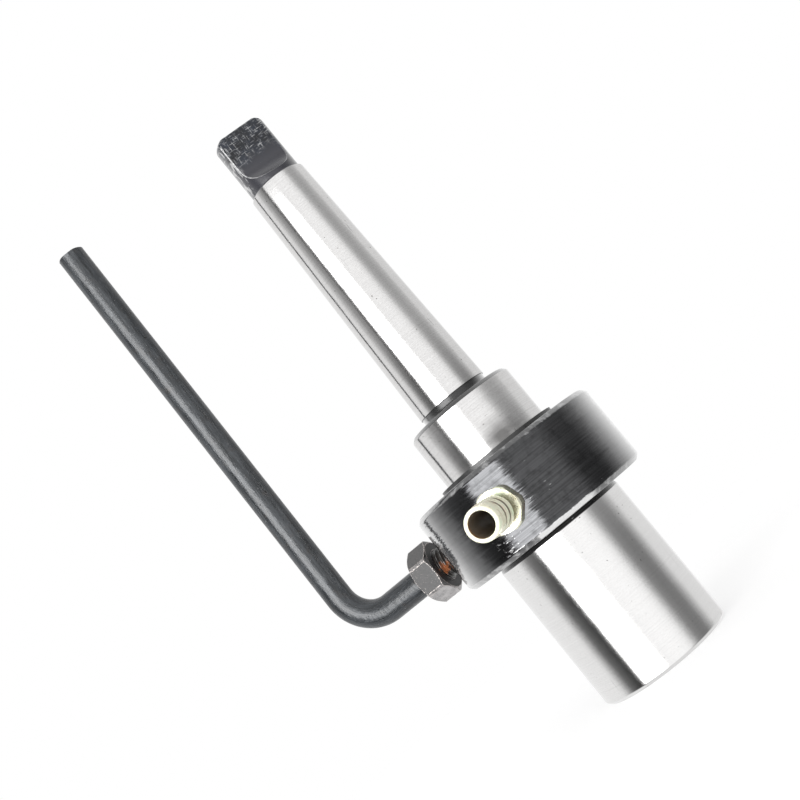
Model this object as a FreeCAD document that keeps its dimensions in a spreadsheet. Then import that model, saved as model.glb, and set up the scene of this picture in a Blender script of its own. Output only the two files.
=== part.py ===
import FreeCAD, Part
import os
import re

# Annular cutter arbor: Morse taper 2 shank, 19.05 mm cutter socket, coolant ring with
# a hose barb and a torque arm. Millimetres. The origin is the centre of the socket's
# end face, +Z runs up the spindle axis to the tang. Every height that a piece shares
# with its neighbour is written once here and worked out from these values.
SIZES = {
    # Arbor, outside
    "nose_radius": 16.5,
    "nose_chamfer": 0.8,
    "shoulder_height": 37.85,
    "shoulder_lead_height": 1.1,
    "shoulder_lead_depth": 0.4,
    "journal_radius": 13.75,
    "collar_above_ring": 15.0,
    "collar_chamfer": 0.9,
    "relief_depth": 0.35,
    "relief_length": 2.0,
    "gauge_radius": 8.89,
    "gauge_offset": 8.0,
    "taper_on_diameter": 0.04995,
    "cone_length": 59.0,
    "neck_radius": 6.75,
    "neck_chamfer": 0.3,
    "shank_length": 83.0,
    "tang_thickness": 6.3,
    "tang_flat_length": 9.0,
    "tang_mill_radius": 6.0,
    "tang_corner_radius": 1.0,
    "tang_turn": 30.5,
    # Arbor, inside
    "socket_radius": 9.53,
    "socket_depth": 36.0,
    "socket_lead": 0.6,
    "pilot_bore_radius": 5.5,
    "pilot_bore_length": 52.0,
    "drill_point_height": 3.2,
    "cross_hole_radius": 2.5,
    "keeper_groove_offset": 1.2,
    "keeper_groove_depth": 0.5,
    "keeper_thickness": 1.0,
    "keeper_band": 1.35,
    "keeper_gap": 2.4,
    "keeper_lug_radius": 0.85,
    "groove_play": 0.1,
    # Socket screws
    "screw_radius": 4.0,
    "screw_height": 19.0,
    "screw_sink": 0.5,
    "screw_tip_setback": 0.08,
    "screw_hex_flats": 4.0,
    "screw_hex_depth": 3.0,
    "screw_end_chamfer": 0.6,
    "screw_angle_first": 63.0,
    "screw_angle_apart": 90.0,
    "thread_clearance": 0.03,
    # Ejector plunger and spring
    "plunger_clearance": 0.08,
    "plunger_head_length": 6.5,
    "plunger_head_flats": 9.4,
    "plunger_nose_radius": 3.1,
    "plunger_nose_setback": 0.2,
    "plunger_spigot_radius": 2.4,
    "plunger_spigot_length": 5.0,
    "plunger_chamfer": 0.5,
    "spring_wire_radius": 0.6,
    "spring_play": 0.35,
    "spring_pitch": 5.1,
    "seat_gap": 0.03,
    # Coolant ring
    "ring_wall": 10.5,
    "ring_height": 20.0,
    "ring_end_float": 0.15,
    "ring_running_clearance": 0.05,
    "ring_chamfer": 1.1,
    "ring_bore_chamfer": 0.4,
    "coolant_groove_height": 6.0,
    "coolant_groove_depth": 3.0,
    "seal_wire_radius": 1.0,
    "seal_shaft_gap": 0.05,
    "seal_groove_side_play": 0.35,
    "seal_from_ring_end": 3.5,
    # Retaining clip on the journal
    "clip_thickness": 1.2,
    "clip_float": 0.1,
    "clip_groove_depth": 0.85,
    "clip_band": 3.15,
    "clip_thinning": 0.45,
    "clip_lug_radius": 2.0,
    "clip_lug_hole_radius": 0.9,
    "clip_gap": 6.0,
    "clip_turn": 108.0,
    # Hose barb
    "barb_angle": -88.0,
    "barb_thread_radius": 3.45,
    "barb_thread_reach": 6.2,
    "barb_port_depth": 6.6,
    "barb_bore_radius": 2.8,
    "barb_thread_bore_radius": 2.3,
    "barb_hex_flats": 9.6,
    "barb_hex_corner_radius": 5.15,
    "barb_hex_height": 3.0,
    "barb_hex_turn": 18.25,
    "barb_crest_radius": 4.0,
    "barb_root_radius": 3.4,
    "barb_neck_length": 2.95,
    "barb_ridge_pitch": 3.2,
    "barb_tip_length": 4.6,
    "barb_tip_radius": 3.68,
    "barb_tip_chamfer": 0.3,
    "seat_on_ring": 0.05,
    # Torque arm and lock nut
    "arm_angle": 180.0,
    "arm_below_barb": 1.0,
    "arm_rod_radius": 3.45,
    "arm_core_radius": 3.35,
    "arm_thread_reach": 6.0,
    "arm_port_depth": 6.5,
    "arm_thread_past_nut": 0.3,
    "arm_reach": 54.3,
    "arm_bend_radius": 9.5,
    "arm_leg_length": 119.15,
    "arm_end_chamfer": 0.35,
    "nut_flats": 12.8,
    "nut_corner_radius": 7.2,
    "nut_height": 5.8,
    "nut_from_ring": 3.3,
    "nut_countersink": 0.6,
    "nut_chamfer_share": 0.97,
}

doc = FreeCAD.newDocument("annular_cutter_arbor")
sheet = doc.addObject("Spreadsheet::Sheet", "Sizes")
for row, (name, value) in enumerate(SIZES.items(), start=1):
    sheet.set("A%d" % row, name)
    sheet.set("B%d" % row, str(value))
    sheet.setAlias("B%d" % row, name)
doc.recompute()

# Heights and radii that several pieces share, as expressions of the sizes
SHARED = {
    "ring_bottom": "(shoulder_height + ring_end_float)",
    "ring_top": "(ring_bottom + ring_height)",
    "port_height": "(ring_bottom + ring_height / 2)",
    "arm_height": "(port_height - arm_below_barb)",
    "collar_top": "(ring_top + collar_above_ring)",
    "gauge_height": "(collar_top + gauge_offset)",
    "cone_end": "(gauge_height + cone_length)",
    "tang_end": "(collar_top + shank_length)",
    "relief_top": "(collar_top + relief_length)",
    "cone_base_radius": "(gauge_radius + (gauge_height - relief_top) * taper_on_diameter / 2)",
    "cone_end_radius": "(gauge_radius - cone_length * taper_on_diameter / 2)",
    "relief_radius": "(cone_base_radius - relief_depth)",
    "clip_bottom": "(ring_top + clip_float)",
    "clip_inner_radius": "(journal_radius - clip_groove_depth)",
    "clip_outer_radius": "(clip_inner_radius + clip_band)",
    "pilot_bore_top": "(socket_depth + pilot_bore_length)",
    "keeper_bottom": "(socket_depth + keeper_groove_offset)",
    "keeper_top": "(keeper_bottom + keeper_thickness)",
    "keeper_outer_radius": "(pilot_bore_radius + keeper_groove_depth - thread_clearance)",
    "plunger_head_top": "(keeper_top + seat_gap + plunger_head_length)",
    "ring_bore_radius": "(journal_radius + ring_running_clearance)",
    "ring_radius": "(ring_bore_radius + ring_wall)",
    "coolant_groove_radius": "(ring_bore_radius + coolant_groove_depth)",
    "seal_centre_radius": "(journal_radius + seal_shaft_gap + seal_wire_radius)",
    "seal_groove_radius": "(seal_centre_radius + seal_wire_radius)",
    "barb_seat": "(ring_radius + seat_on_ring)",
    "barb_hex_top": "(barb_seat + barb_hex_height)",
    "barb_ridges_start": "(barb_hex_top + barb_neck_length)",
    "barb_tip_start": "(barb_ridges_start + 2 * barb_ridge_pitch)",
    "barb_tip": "(barb_tip_start + barb_tip_length)",
    "nut_inner_face": "(ring_radius + nut_from_ring)",
    "nut_outer_face": "(nut_inner_face + nut_height)",
    "arm_thread_end": "(nut_outer_face + arm_thread_past_nut)",
}


def size(text):
    """Write an expression of named sizes the way the document's expressions need it."""
    while True:
        spread = re.sub(r"[a-z_]+", lambda word: SHARED.get(word.group(), word.group()), text)
        if spread == text:
            break
        text = spread
    return re.sub(r"[a-z_]+", lambda word: "Sizes." + word.group()
                  if word.group() in SIZES else word.group(), text)


def number(text):
    """The present value of an expression of named sizes, to place first geometry."""
    return float(sheet.evalExpression(size(text)))


def new_body(name):
    body = doc.addObject("PartDesign::Body", name)
    body.Label = name
    return body


def plane_of(body, role):
    return next(plane for plane in body.Origin.OriginFeatures if plane.Role == role)


def new_sketch(body, name, role, offset=None, turn=None):
    """A sketch on an origin plane, turned about its own Y axis and moved along its normal."""
    sketch = body.newObject("Sketcher::SketchObject", name)
    sketch.AttachmentSupport = [(plane_of(body, role), "")]
    sketch.MapMode = "FlatFace"
    if turn:
        sketch.AttachmentOffset = FreeCAD.Placement(
            FreeCAD.Vector(0, 0, 0), FreeCAD.Rotation(FreeCAD.Vector(0, 1, 0), number(turn)))
        sketch.setExpression(".AttachmentOffset.Rotation.Angle", size(turn))
    if offset and turn:
        sketch.setExpression(".AttachmentOffset.Base.x", size("(%s) * sin(%s)" % (offset, turn)))
        sketch.setExpression(".AttachmentOffset.Base.z", size("(%s) * cos(%s)" % (offset, turn)))
    elif offset:
        sketch.setExpression(".AttachmentOffset.Base.z", size(offset))
    return sketch


def bind(sketch, constraint, text):
    index = sketch.addConstraint(constraint)
    sketch.setExpression("Constraints[%d]" % index, size(text))


def pin_point(sketch, line, end, across, along):
    """Hold one end of a line at named distances from the sketch's origin."""
    for kind, text in (("DistanceX", across), ("DistanceY", along)):
        value = number(text)
        if text == "0":
            axis = -2 if kind == "DistanceX" else -1
            sketch.addConstraint(Sketcher_constraint("PointOnObject", line, end, axis))
        elif value < 0:
            bind(sketch, Sketcher_constraint(kind, line, end, -1, 1, -value), "-(%s)" % text)
        else:
            bind(sketch, Sketcher_constraint(kind, -1, 1, line, end, value), text)


def Sketcher_constraint(*values):
    import Sketcher
    return Sketcher.Constraint(*values)


def add_outline(sketch, points):
    """Draw a closed outline. A point is (across, along) for a straight edge from the last
    point, or (across, along, radius, side) for an arc that bulges to that side."""
    places = [FreeCAD.Vector(number(p[0]), number(p[1]), 0) for p in points]
    first = sketch.GeometryCount
    for index, point in enumerate(points):
        start, end = places[index - 1], places[index]
        if len(point) == 2:
            sketch.addGeometry(Part.LineSegment(start, end), False)
            continue
        radius = number(point[2])
        chord = end - start
        normal = FreeCAD.Vector(-chord.y, chord.x, 0).normalize() * point[3]
        rise = (radius ** 2 - (chord.Length / 2) ** 2) ** 0.5
        middle = start + chord * 0.5 + normal * (radius - rise)
        sketch.addGeometry(Part.Arc(start, middle, end), False)
    count = len(points)
    for index, point in enumerate(points):
        edge, following = first + index, first + (index + 1) % count
        start_end, finish_end = arc_ends(sketch, edge, places[index - 1])
        next_start = arc_ends(sketch, following, places[index])[0]
        sketch.addConstraint(Sketcher_constraint("Coincident", edge, finish_end,
                                                 following, next_start))
        if len(point) == 4:
            bind(sketch, Sketcher_constraint("Radius", edge, number(point[2])), point[2])
    for index, point in enumerate(points):
        edge = first + index
        finish_end = arc_ends(sketch, edge, places[index - 1])[1]
        pin_point(sketch, edge, finish_end, point[0], point[1])


def arc_ends(sketch, edge, start):
    """Which end of an edge is its start, because arcs are always stored anticlockwise."""
    near = (sketch.getPoint(edge, 1) - start).Length < (sketch.getPoint(edge, 2) - start).Length
    return (1, 2) if near else (2, 1)


def add_circle(sketch, across, along, radius):
    centre = FreeCAD.Vector(number(across), number(along), 0)
    circle = sketch.addGeometry(Part.Circle(centre, FreeCAD.Vector(0, 0, 1), number(radius)), False)
    pin_point(sketch, circle, 3, across, along)
    bind(sketch, Sketcher_constraint("Radius", circle, number(radius)), radius)


def add_hexagon(sketch, flats, turn):
    """A hexagon about the sketch's origin by its width across flats."""
    import math
    import Sketcher
    corner = number(flats) / math.sqrt(3.0)
    angles = [math.radians(number(turn) + 30 + 60 * step) for step in range(6)]
    corners = [FreeCAD.Vector(corner * math.cos(a), corner * math.sin(a), 0) for a in angles]
    guide = sketch.addGeometry(Part.Circle(FreeCAD.Vector(0, 0, 0), FreeCAD.Vector(0, 0, 1),
                                           corner), True)
    sketch.addConstraint(Sketcher.Constraint("Coincident", guide, 3, -1, 1))
    bind(sketch, Sketcher.Constraint("Radius", guide, corner), "(%s) / sqrt(3)" % flats)
    sides = [sketch.addGeometry(Part.LineSegment(corners[i - 1], corners[i]), False)
             for i in range(6)]
    for index, side in enumerate(sides):
        sketch.addConstraint(Sketcher.Constraint("Coincident", side, 2,
                                                 sides[(index + 1) % 6], 1))
        sketch.addConstraint(Sketcher.Constraint("PointOnObject", side, 2, guide))
        if index:
            sketch.addConstraint(Sketcher.Constraint("Equal", sides[0], side))
    spoke = sketch.addGeometry(Part.LineSegment(FreeCAD.Vector(0, 0, 0), corners[0]), True)
    sketch.addConstraint(Sketcher.Constraint("Coincident", spoke, 1, -1, 1))
    sketch.addConstraint(Sketcher.Constraint("Coincident", spoke, 2, sides[0], 2))
    bind(sketch, Sketcher.Constraint("Angle", -1, 1, spoke, 1, angles[0]),
         "%s + 30" % turn)


def spin(body, kind, sketch, axis):
    """Revolve a sketch about its own horizontal or vertical axis, adding or cutting."""
    feature = body.newObject("PartDesign::" + kind, sketch.Name + "_turned")
    feature.Profile = sketch
    feature.ReferenceAxis = (sketch, [axis])
    feature.Angle = 360.0
    body.Tip = feature
    doc.recompute()
    return feature


def extrude(body, kind, sketch, length, midplane=False, reverse=False):
    feature = body.newObject("PartDesign::" + kind, sketch.Name + "_run")
    feature.Profile = sketch
    feature.setExpression("Length", size(length))
    feature.SideType = "Symmetric" if midplane else "One side"
    feature.Reversed = reverse
    body.Tip = feature
    doc.recompute()
    return feature


def stand_at(piece, height, angle=None):
    """Turn a piece about the arbor's axis and lift it to its height."""
    piece.Placement = FreeCAD.Placement(
        FreeCAD.Vector(0, 0, 0), FreeCAD.Rotation(FreeCAD.Vector(0, 0, 1), 0))
    if angle:
        piece.Placement = FreeCAD.Placement(
            FreeCAD.Vector(0, 0, 0), FreeCAD.Rotation(FreeCAD.Vector(0, 0, 1), number(angle)))
        piece.setExpression(".Placement.Rotation.Angle", size(angle))
    if height:
        piece.setExpression(".Placement.Base.z", size(height))


def make_arbor_body():
    """One turned and ground bar: nose with the socket, journal, cone, neck and tang."""
    body = new_body("arbor_body")
    outside = new_sketch(body, "arbor_outside", "XZ_Plane")
    add_outline(outside, [
        ("0", "0"),
        ("nose_radius - nose_chamfer", "0"),
        ("nose_radius", "nose_chamfer"),
        ("nose_radius", "shoulder_height - shoulder_lead_height"),
        ("nose_radius - shoulder_lead_depth", "shoulder_height"),
        ("journal_radius", "shoulder_height"),
        ("journal_radius", "collar_top - collar_chamfer"),
        ("journal_radius - collar_chamfer", "collar_top"),
        ("relief_radius", "collar_top"),
        ("relief_radius", "relief_top"),
        ("cone_base_radius", "relief_top"),
        ("cone_end_radius", "cone_end"),
        ("neck_radius + neck_chamfer", "cone_end"),
        ("neck_radius", "cone_end + neck_chamfer"),
        ("neck_radius", "tang_end - tang_corner_radius"),
        ("neck_radius - tang_corner_radius", "tang_end", "tang_corner_radius", -1),
        ("0", "tang_end"),
    ])
    spin(body, "Revolution", outside, "V_Axis")

    bores = new_sketch(body, "arbor_bores", "XZ_Plane")
    keeper_groove_radius = "pilot_bore_radius + keeper_groove_depth"
    add_outline(bores, [
        ("0", "0"),
        ("socket_radius + socket_lead", "0"),
        ("socket_radius", "socket_lead"),
        ("socket_radius", "socket_depth"),
        ("pilot_bore_radius", "socket_depth"),
        ("pilot_bore_radius", "keeper_bottom - groove_play / 2"),
        (keeper_groove_radius, "keeper_bottom - groove_play / 2"),
        (keeper_groove_radius, "keeper_top + groove_play / 2"),
        ("pilot_bore_radius", "keeper_top + groove_play / 2"),
        ("pilot_bore_radius", "pilot_bore_top"),
        ("0", "pilot_bore_top + drill_point_height"),
    ])
    spin(body, "Groove", bores, "V_Axis")

    clip_groove = new_sketch(body, "arbor_clip_groove", "XZ_Plane")
    groove_low = "clip_bottom - groove_play / 2"
    groove_high = "clip_bottom + clip_thickness + groove_play / 2"
    add_outline(clip_groove, [
        ("clip_inner_radius - thread_clearance", groove_low),
        ("journal_radius + clip_groove_depth", groove_low),
        ("journal_radius + clip_groove_depth", groove_high),
        ("clip_inner_radius - thread_clearance", groove_high),
    ])
    spin(body, "Groove", clip_groove, "V_Axis")

    for side, sign in (("near", "1"), ("far", "-1")):
        milled = new_sketch(body, "tang_flat_" + side, "XZ_Plane", turn="tang_turn + 90")
        inner = "%s * tang_thickness / 2" % sign
        outer = "%s * (tang_thickness / 2 + tang_mill_radius)" % sign
        flat_low = "tang_end - tang_flat_length"
        turn_side = -1 if sign == "1" else 1
        add_outline(milled, [
            (inner, "tang_end + tang_corner_radius"),
            (inner, flat_low),
            (outer, flat_low + " - tang_mill_radius", "tang_mill_radius", turn_side),
            (outer, "tang_end + tang_corner_radius"),
        ])
        extrude(body, "Pocket", milled, "4 * neck_radius", midplane=True)

    for index in range(2):
        angle = "screw_angle_first + %d * screw_angle_apart" % index
        hole = new_sketch(body, "screw_hole_%d" % (index + 1), "YZ_Plane", turn=angle)
        add_circle(hole, "0", "screw_height", "screw_radius")
        extrude(body, "Pocket", hole, "nose_radius + nose_chamfer", reverse=True)

    cross = new_sketch(body, "coolant_cross_hole", "YZ_Plane")
    add_circle(cross, "0", "port_height", "cross_hole_radius")
    extrude(body, "Pocket", cross, "2 * (journal_radius + journal_radius - socket_radius)",
            midplane=True)
    return body


def make_socket_screw(index):
    """A socket set screw, drawn along +X and turned to its place in the nose."""
    body = new_body("socket_screw_%d" % (index + 1))
    tip = "socket_radius + screw_tip_setback"
    tail = "nose_radius - screw_sink"
    thread = "screw_radius - thread_clearance"
    half = new_sketch(body, "screw_outline_%d" % (index + 1), "XZ_Plane")
    add_outline(half, [
        (tip, "0"),
        (tip, "screw_radius / 2"),
        (tip + " + screw_radius / 2 - thread_clearance", thread),
        (tail + " - screw_end_chamfer", thread),
        (tail, thread + " - screw_end_chamfer"),
        (tail, "0"),
    ])
    spin(body, "Revolution", half, "H_Axis")
    key = new_sketch(body, "screw_key_%d" % (index + 1), "YZ_Plane",
                     offset=tail + " - screw_hex_depth")
    add_hexagon(key, "screw_hex_flats", "0")
    extrude(body, "Pocket", key, "screw_hex_depth + screw_sink", reverse=True)
    angle = "screw_angle_first + %d * screw_angle_apart" % index
    stand_at(body, "screw_height", angle)
    return body


def make_ring(name, height, thickness, disc_radius, disc_shift, bore_radius,
              lug_place, lug_radius, lug_hole, gap, reach, turn):
    """A snap ring: an eccentric band open at one side, with a drilled lug at each end."""
    body = new_body(name)
    outer = new_sketch(body, name + "_disc", "XY_Plane")
    add_circle(outer, disc_shift, "0", disc_radius)
    extrude(body, "Pad", outer, thickness)
    inner = new_sketch(body, name + "_hole", "XY_Plane")
    add_circle(inner, "0", "0", bore_radius)
    extrude(body, "Pocket", inner, thickness, reverse=True)
    for side in ("1", "-1"):
        lug = new_sketch(body, name + "_lug" + side.strip("-") + ("b" if side == "-1" else "a"),
                         "XY_Plane")
        along = "%s * (%s / 2 + %s)" % (side, gap, lug_radius)
        add_circle(lug, lug_place, along, lug_radius)
        extrude(body, "Pad", lug, thickness)
        drilled = new_sketch(body, name + "_eye" + ("b" if side == "-1" else "a"), "XY_Plane")
        add_circle(drilled, lug_place, along, lug_hole)
        extrude(body, "Pocket", drilled, thickness, reverse=True)
    opening = new_sketch(body, name + "_opening", "XY_Plane")
    half_gap = "%s / 2" % gap
    add_outline(opening, [
        ("0", "-" + half_gap),
        (reach, "-" + half_gap),
        (reach, half_gap),
        ("0", half_gap),
    ])
    extrude(body, "Pocket", opening, thickness, reverse=True)
    stand_at(body, height, turn)
    return body


def make_journal_clip():
    return make_ring(
        "journal_clip", "clip_bottom", "clip_thickness",
        "clip_outer_radius - clip_thinning", "-clip_thinning",
        "clip_inner_radius", "clip_inner_radius + clip_lug_radius",
        "clip_lug_radius", "clip_lug_hole_radius", "clip_gap",
        "clip_outer_radius + clip_lug_radius", "clip_turn")


def make_plunger_keeper():
    return make_ring(
        "plunger_keeper", "keeper_bottom", "keeper_thickness",
        "keeper_outer_radius", "0",
        "keeper_outer_radius - keeper_band",
        "keeper_outer_radius - keeper_band - keeper_lug_radius / 4",
        "keeper_lug_radius", "keeper_lug_radius / 2", "keeper_gap",
        "keeper_outer_radius + keeper_band", "clip_turn")


def make_plunger():
    """The ejector plunger: a nose through the keeper, a guided head with water flats
    and a spigot that centres the spring."""
    body = new_body("ejector_plunger")
    bottom = "keeper_top + seat_gap"
    head = "pilot_bore_radius - plunger_clearance"
    nose_low = "socket_depth + plunger_nose_setback"
    spigot_top = "plunger_head_top + plunger_spigot_length"
    half = new_sketch(body, "plunger_outline", "XZ_Plane")
    add_outline(half, [
        ("0", nose_low),
        ("plunger_nose_radius - plunger_chamfer", nose_low),
        ("plunger_nose_radius", nose_low + " + plunger_chamfer"),
        ("plunger_nose_radius", bottom),
        (head, bottom),
        (head, "plunger_head_top"),
        ("plunger_spigot_radius", "plunger_head_top"),
        ("plunger_spigot_radius", spigot_top + " - plunger_chamfer"),
        ("plunger_spigot_radius - plunger_chamfer", spigot_top),
        ("0", spigot_top),
    ])
    spin(body, "Revolution", half, "V_Axis")
    flats = new_sketch(body, "plunger_flats", "XY_Plane", offset=bottom)
    reach = "pilot_bore_radius + plunger_chamfer"
    for side in ("1", "-1"):
        near = "%s * plunger_head_flats / 2" % side
        far = "%s * (%s)" % (side, reach)
        add_outline(flats, [
            (near, "-(%s)" % reach),
            (far, "-(%s)" % reach),
            (far, reach),
            (near, reach),
        ])
    extrude(body, "Pocket", flats, "plunger_head_length", reverse=True)
    return body


def make_spring():
    """The ejector spring, an open coil between the plunger's head and the bore's end."""
    low = "plunger_head_top + spring_wire_radius + seat_gap"
    coil = doc.addObject("Part::Helix", "spring_path")
    mean = "pilot_bore_radius - spring_wire_radius - spring_play"
    coil.setExpression("Radius", size(mean))
    coil.setExpression("Pitch", size("spring_pitch"))
    coil.setExpression("Height", size("pilot_bore_top - seat_gap - spring_wire_radius - (%s)" % low))
    wire = doc.addObject("Part::Circle", "spring_wire")
    wire.setExpression("Radius", size("spring_wire_radius"))
    wire.Placement = FreeCAD.Placement(
        FreeCAD.Vector(0, 0, 0), FreeCAD.Rotation(FreeCAD.Vector(1, 0, 0), 90))
    wire.setExpression(".Placement.Base.x", size(mean))
    spring = doc.addObject("Part::Sweep", "ejector_spring")
    spring.Label = "ejector_spring"
    spring.Sections = [wire]
    spring.Spine = (coil, ["Edge1"])
    spring.Solid = True
    spring.Frenet = True
    stand_at(spring, low)
    return spring


def make_coolant_ring():
    """The stationary ring: bored to run on the journal, with a coolant groove between
    two seal grooves and one port each for the hose barb and the torque arm."""
    body = new_body("coolant_ring")
    section = new_sketch(body, "ring_section", "XZ_Plane")
    bore = "ring_bore_radius"
    flare = "ring_bore_radius + ring_bore_chamfer"
    rim = "ring_radius - ring_chamfer"
    add_outline(section, [
        (flare, "ring_bottom"),
        (rim, "ring_bottom"),
        ("ring_radius", "ring_bottom + ring_chamfer"),
        ("ring_radius", "ring_top - ring_chamfer"),
        (rim, "ring_top"),
        (flare, "ring_top"),
        (bore, "ring_top - ring_bore_chamfer"),
        (bore, "ring_bottom + ring_bore_chamfer"),
    ])
    spin(body, "Revolution", section, "V_Axis")

    grooves = new_sketch(body, "ring_grooves", "XZ_Plane")
    half_seal = "(seal_wire_radius + seal_groove_side_play)"
    stretches = [
        ("ring_bottom + seal_from_ring_end", half_seal, "seal_groove_radius"),
        ("port_height", "(coolant_groove_height / 2)", "coolant_groove_radius"),
        ("ring_top - seal_from_ring_end", half_seal, "seal_groove_radius"),
    ]
    for middle, half, depth in stretches:
        add_outline(grooves, [
            ("journal_radius", "%s - %s" % (middle, half)),
            (depth, "%s - %s" % (middle, half)),
            (depth, "%s + %s" % (middle, half)),
            ("journal_radius", "%s + %s" % (middle, half)),
        ])
    spin(body, "Groove", grooves, "V_Axis")

    inlet = new_sketch(body, "inlet_hole", "YZ_Plane", turn="barb_angle")
    add_circle(inlet, "0", "port_height", "cross_hole_radius")
    extrude(body, "Pocket", inlet, "ring_radius", reverse=True)
    barb_port = new_sketch(body, "barb_port", "YZ_Plane",
                           offset="ring_radius - barb_port_depth", turn="barb_angle")
    add_circle(barb_port, "0", "port_height", "barb_thread_radius + thread_clearance")
    extrude(body, "Pocket", barb_port, "barb_port_depth + ring_chamfer", reverse=True)

    arm_port = new_sketch(body, "arm_port", "YZ_Plane",
                          offset="ring_radius - arm_port_depth", turn="arm_angle")
    add_circle(arm_port, "0", "arm_height", "arm_core_radius + thread_clearance")
    extrude(body, "Pocket", arm_port, "arm_port_depth + ring_chamfer", reverse=True)
    return body


def make_seal(name, height):
    seal = doc.addObject("Part::Torus", name)
    seal.Label = name
    seal.setExpression("Radius1", size("seal_centre_radius"))
    seal.setExpression("Radius2", size("seal_wire_radius"))
    stand_at(seal, height)
    return seal


def make_hose_barb():
    """The coolant inlet, drawn along +X: thread, hexagon, two ridges and a long tip."""
    body = new_body("hose_barb")
    half = new_sketch(body, "barb_outline", "XZ_Plane")
    inner_end = "barb_seat - barb_thread_reach"
    outline = [
        (inner_end, "barb_thread_bore_radius"),
        (inner_end, "barb_thread_radius"),
        ("barb_hex_top", "barb_thread_radius"),
        ("barb_hex_top", "barb_root_radius - barb_tip_chamfer"),
        ("barb_ridges_start", "barb_root_radius - barb_tip_chamfer"),
    ]
    for step in range(2):
        crest = "barb_ridges_start + %d * barb_ridge_pitch" % step
        outline.append((crest, "barb_crest_radius"))
        outline.append(("%s + barb_ridge_pitch" % crest, "barb_root_radius"))
    outline += [
        ("barb_tip_start", "barb_crest_radius"),
        ("barb_tip - barb_tip_chamfer", "barb_tip_radius"),
        ("barb_tip", "barb_tip_radius - barb_tip_chamfer"),
        ("barb_tip", "barb_bore_radius"),
        ("barb_seat", "barb_bore_radius"),
        ("barb_seat", "barb_thread_bore_radius"),
    ]
    add_outline(half, outline)
    spin(body, "Revolution", half, "H_Axis")

    hexagon = new_sketch(body, "barb_hexagon", "YZ_Plane", offset="barb_seat")
    add_hexagon(hexagon, "barb_hex_flats", "barb_hex_turn")
    add_circle(hexagon, "0", "0", "(barb_bore_radius + barb_thread_radius) / 2")
    extrude(body, "Pad", hexagon, "barb_hex_height")

    corners = new_sketch(body, "barb_hex_corners", "XZ_Plane")
    corner = "barb_hex_corner_radius"
    clear = "barb_hex_flats / sqrt(3) + barb_tip_chamfer"
    add_outline(corners, [
        ("barb_hex_top + barb_tip_chamfer", corner + " - barb_tip_chamfer * 2"),
        ("barb_hex_top - barb_tip_chamfer", corner),
        ("barb_seat - barb_tip_chamfer", corner),
        ("barb_seat - barb_tip_chamfer", clear),
        ("barb_hex_top + barb_tip_chamfer", clear),
    ])
    spin(body, "Groove", corners, "H_Axis")
    stand_at(body, "port_height", "barb_angle")
    return body


def make_torque_arm():
    """The torque arm, drawn along +X: a threaded end, one bend and a long leg."""
    body = new_body("torque_arm")
    path = new_sketch(body, "arm_path", "XZ_Plane")
    start = FreeCAD.Vector(number("arm_thread_end"), 0, 0)
    bend_start = FreeCAD.Vector(number("arm_reach - arm_bend_radius"), 0, 0)
    bend_end = FreeCAD.Vector(number("arm_reach"), number("arm_bend_radius"), 0)
    bend_centre = FreeCAD.Vector(bend_start.x, bend_end.y, 0)
    top = FreeCAD.Vector(number("arm_reach"), number("arm_leg_length"), 0)
    path.addGeometry(Part.LineSegment(start, bend_start), False)
    path.addGeometry(Part.ArcOfCircle(
        Part.Circle(bend_centre, FreeCAD.Vector(0, 0, 1), number("arm_bend_radius")),
        -1.5707963267948966, 0.0), False)
    path.addGeometry(Part.LineSegment(bend_end, top), False)
    path.addConstraint(Sketcher_constraint("Tangent", 0, 2, 1, 1))
    path.addConstraint(Sketcher_constraint("Tangent", 1, 2, 2, 1))
    path.addConstraint(Sketcher_constraint("PointOnObject", 0, 1, -1))
    path.addConstraint(Sketcher_constraint("PointOnObject", 0, 2, -1))
    path.addConstraint(Sketcher_constraint("Vertical", 2))
    bind(path, Sketcher_constraint("DistanceX", -1, 1, 0, 1, start.x), "arm_thread_end")
    bind(path, Sketcher_constraint("Radius", 1, bend_end.y), "arm_bend_radius")
    bind(path, Sketcher_constraint("DistanceX", -1, 1, 2, 2, top.x), "arm_reach")
    bind(path, Sketcher_constraint("DistanceY", -1, 1, 2, 2, top.y), "arm_leg_length")

    section = new_sketch(body, "arm_section", "YZ_Plane", offset="arm_thread_end")
    add_circle(section, "0", "0", "arm_rod_radius")
    rod = body.newObject("PartDesign::AdditivePipe", "arm_rod")
    rod.Profile = section
    rod.Spine = (path, ["Edge1", "Edge2", "Edge3"])
    body.Tip = rod
    doc.recompute()

    inner_end = "ring_radius - arm_thread_reach"
    core = new_sketch(body, "arm_core", "YZ_Plane", offset=inner_end)
    add_circle(core, "0", "0", "arm_core_radius")
    extrude(body, "Pad", core, "arm_thread_end - (%s)" % inner_end)

    rim = new_sketch(body, "arm_end_rim", "XY_Plane", offset="arm_leg_length")
    add_circle(rim, "arm_reach", "0", "arm_rod_radius * 1.5")
    add_circle(rim, "arm_reach", "0", "arm_rod_radius - arm_end_chamfer")
    bevel = extrude(body, "Pocket", rim, "arm_end_chamfer")
    bevel.TaperAngle = 0.0
    stand_at(body, "arm_height", "arm_angle")
    return body


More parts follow.
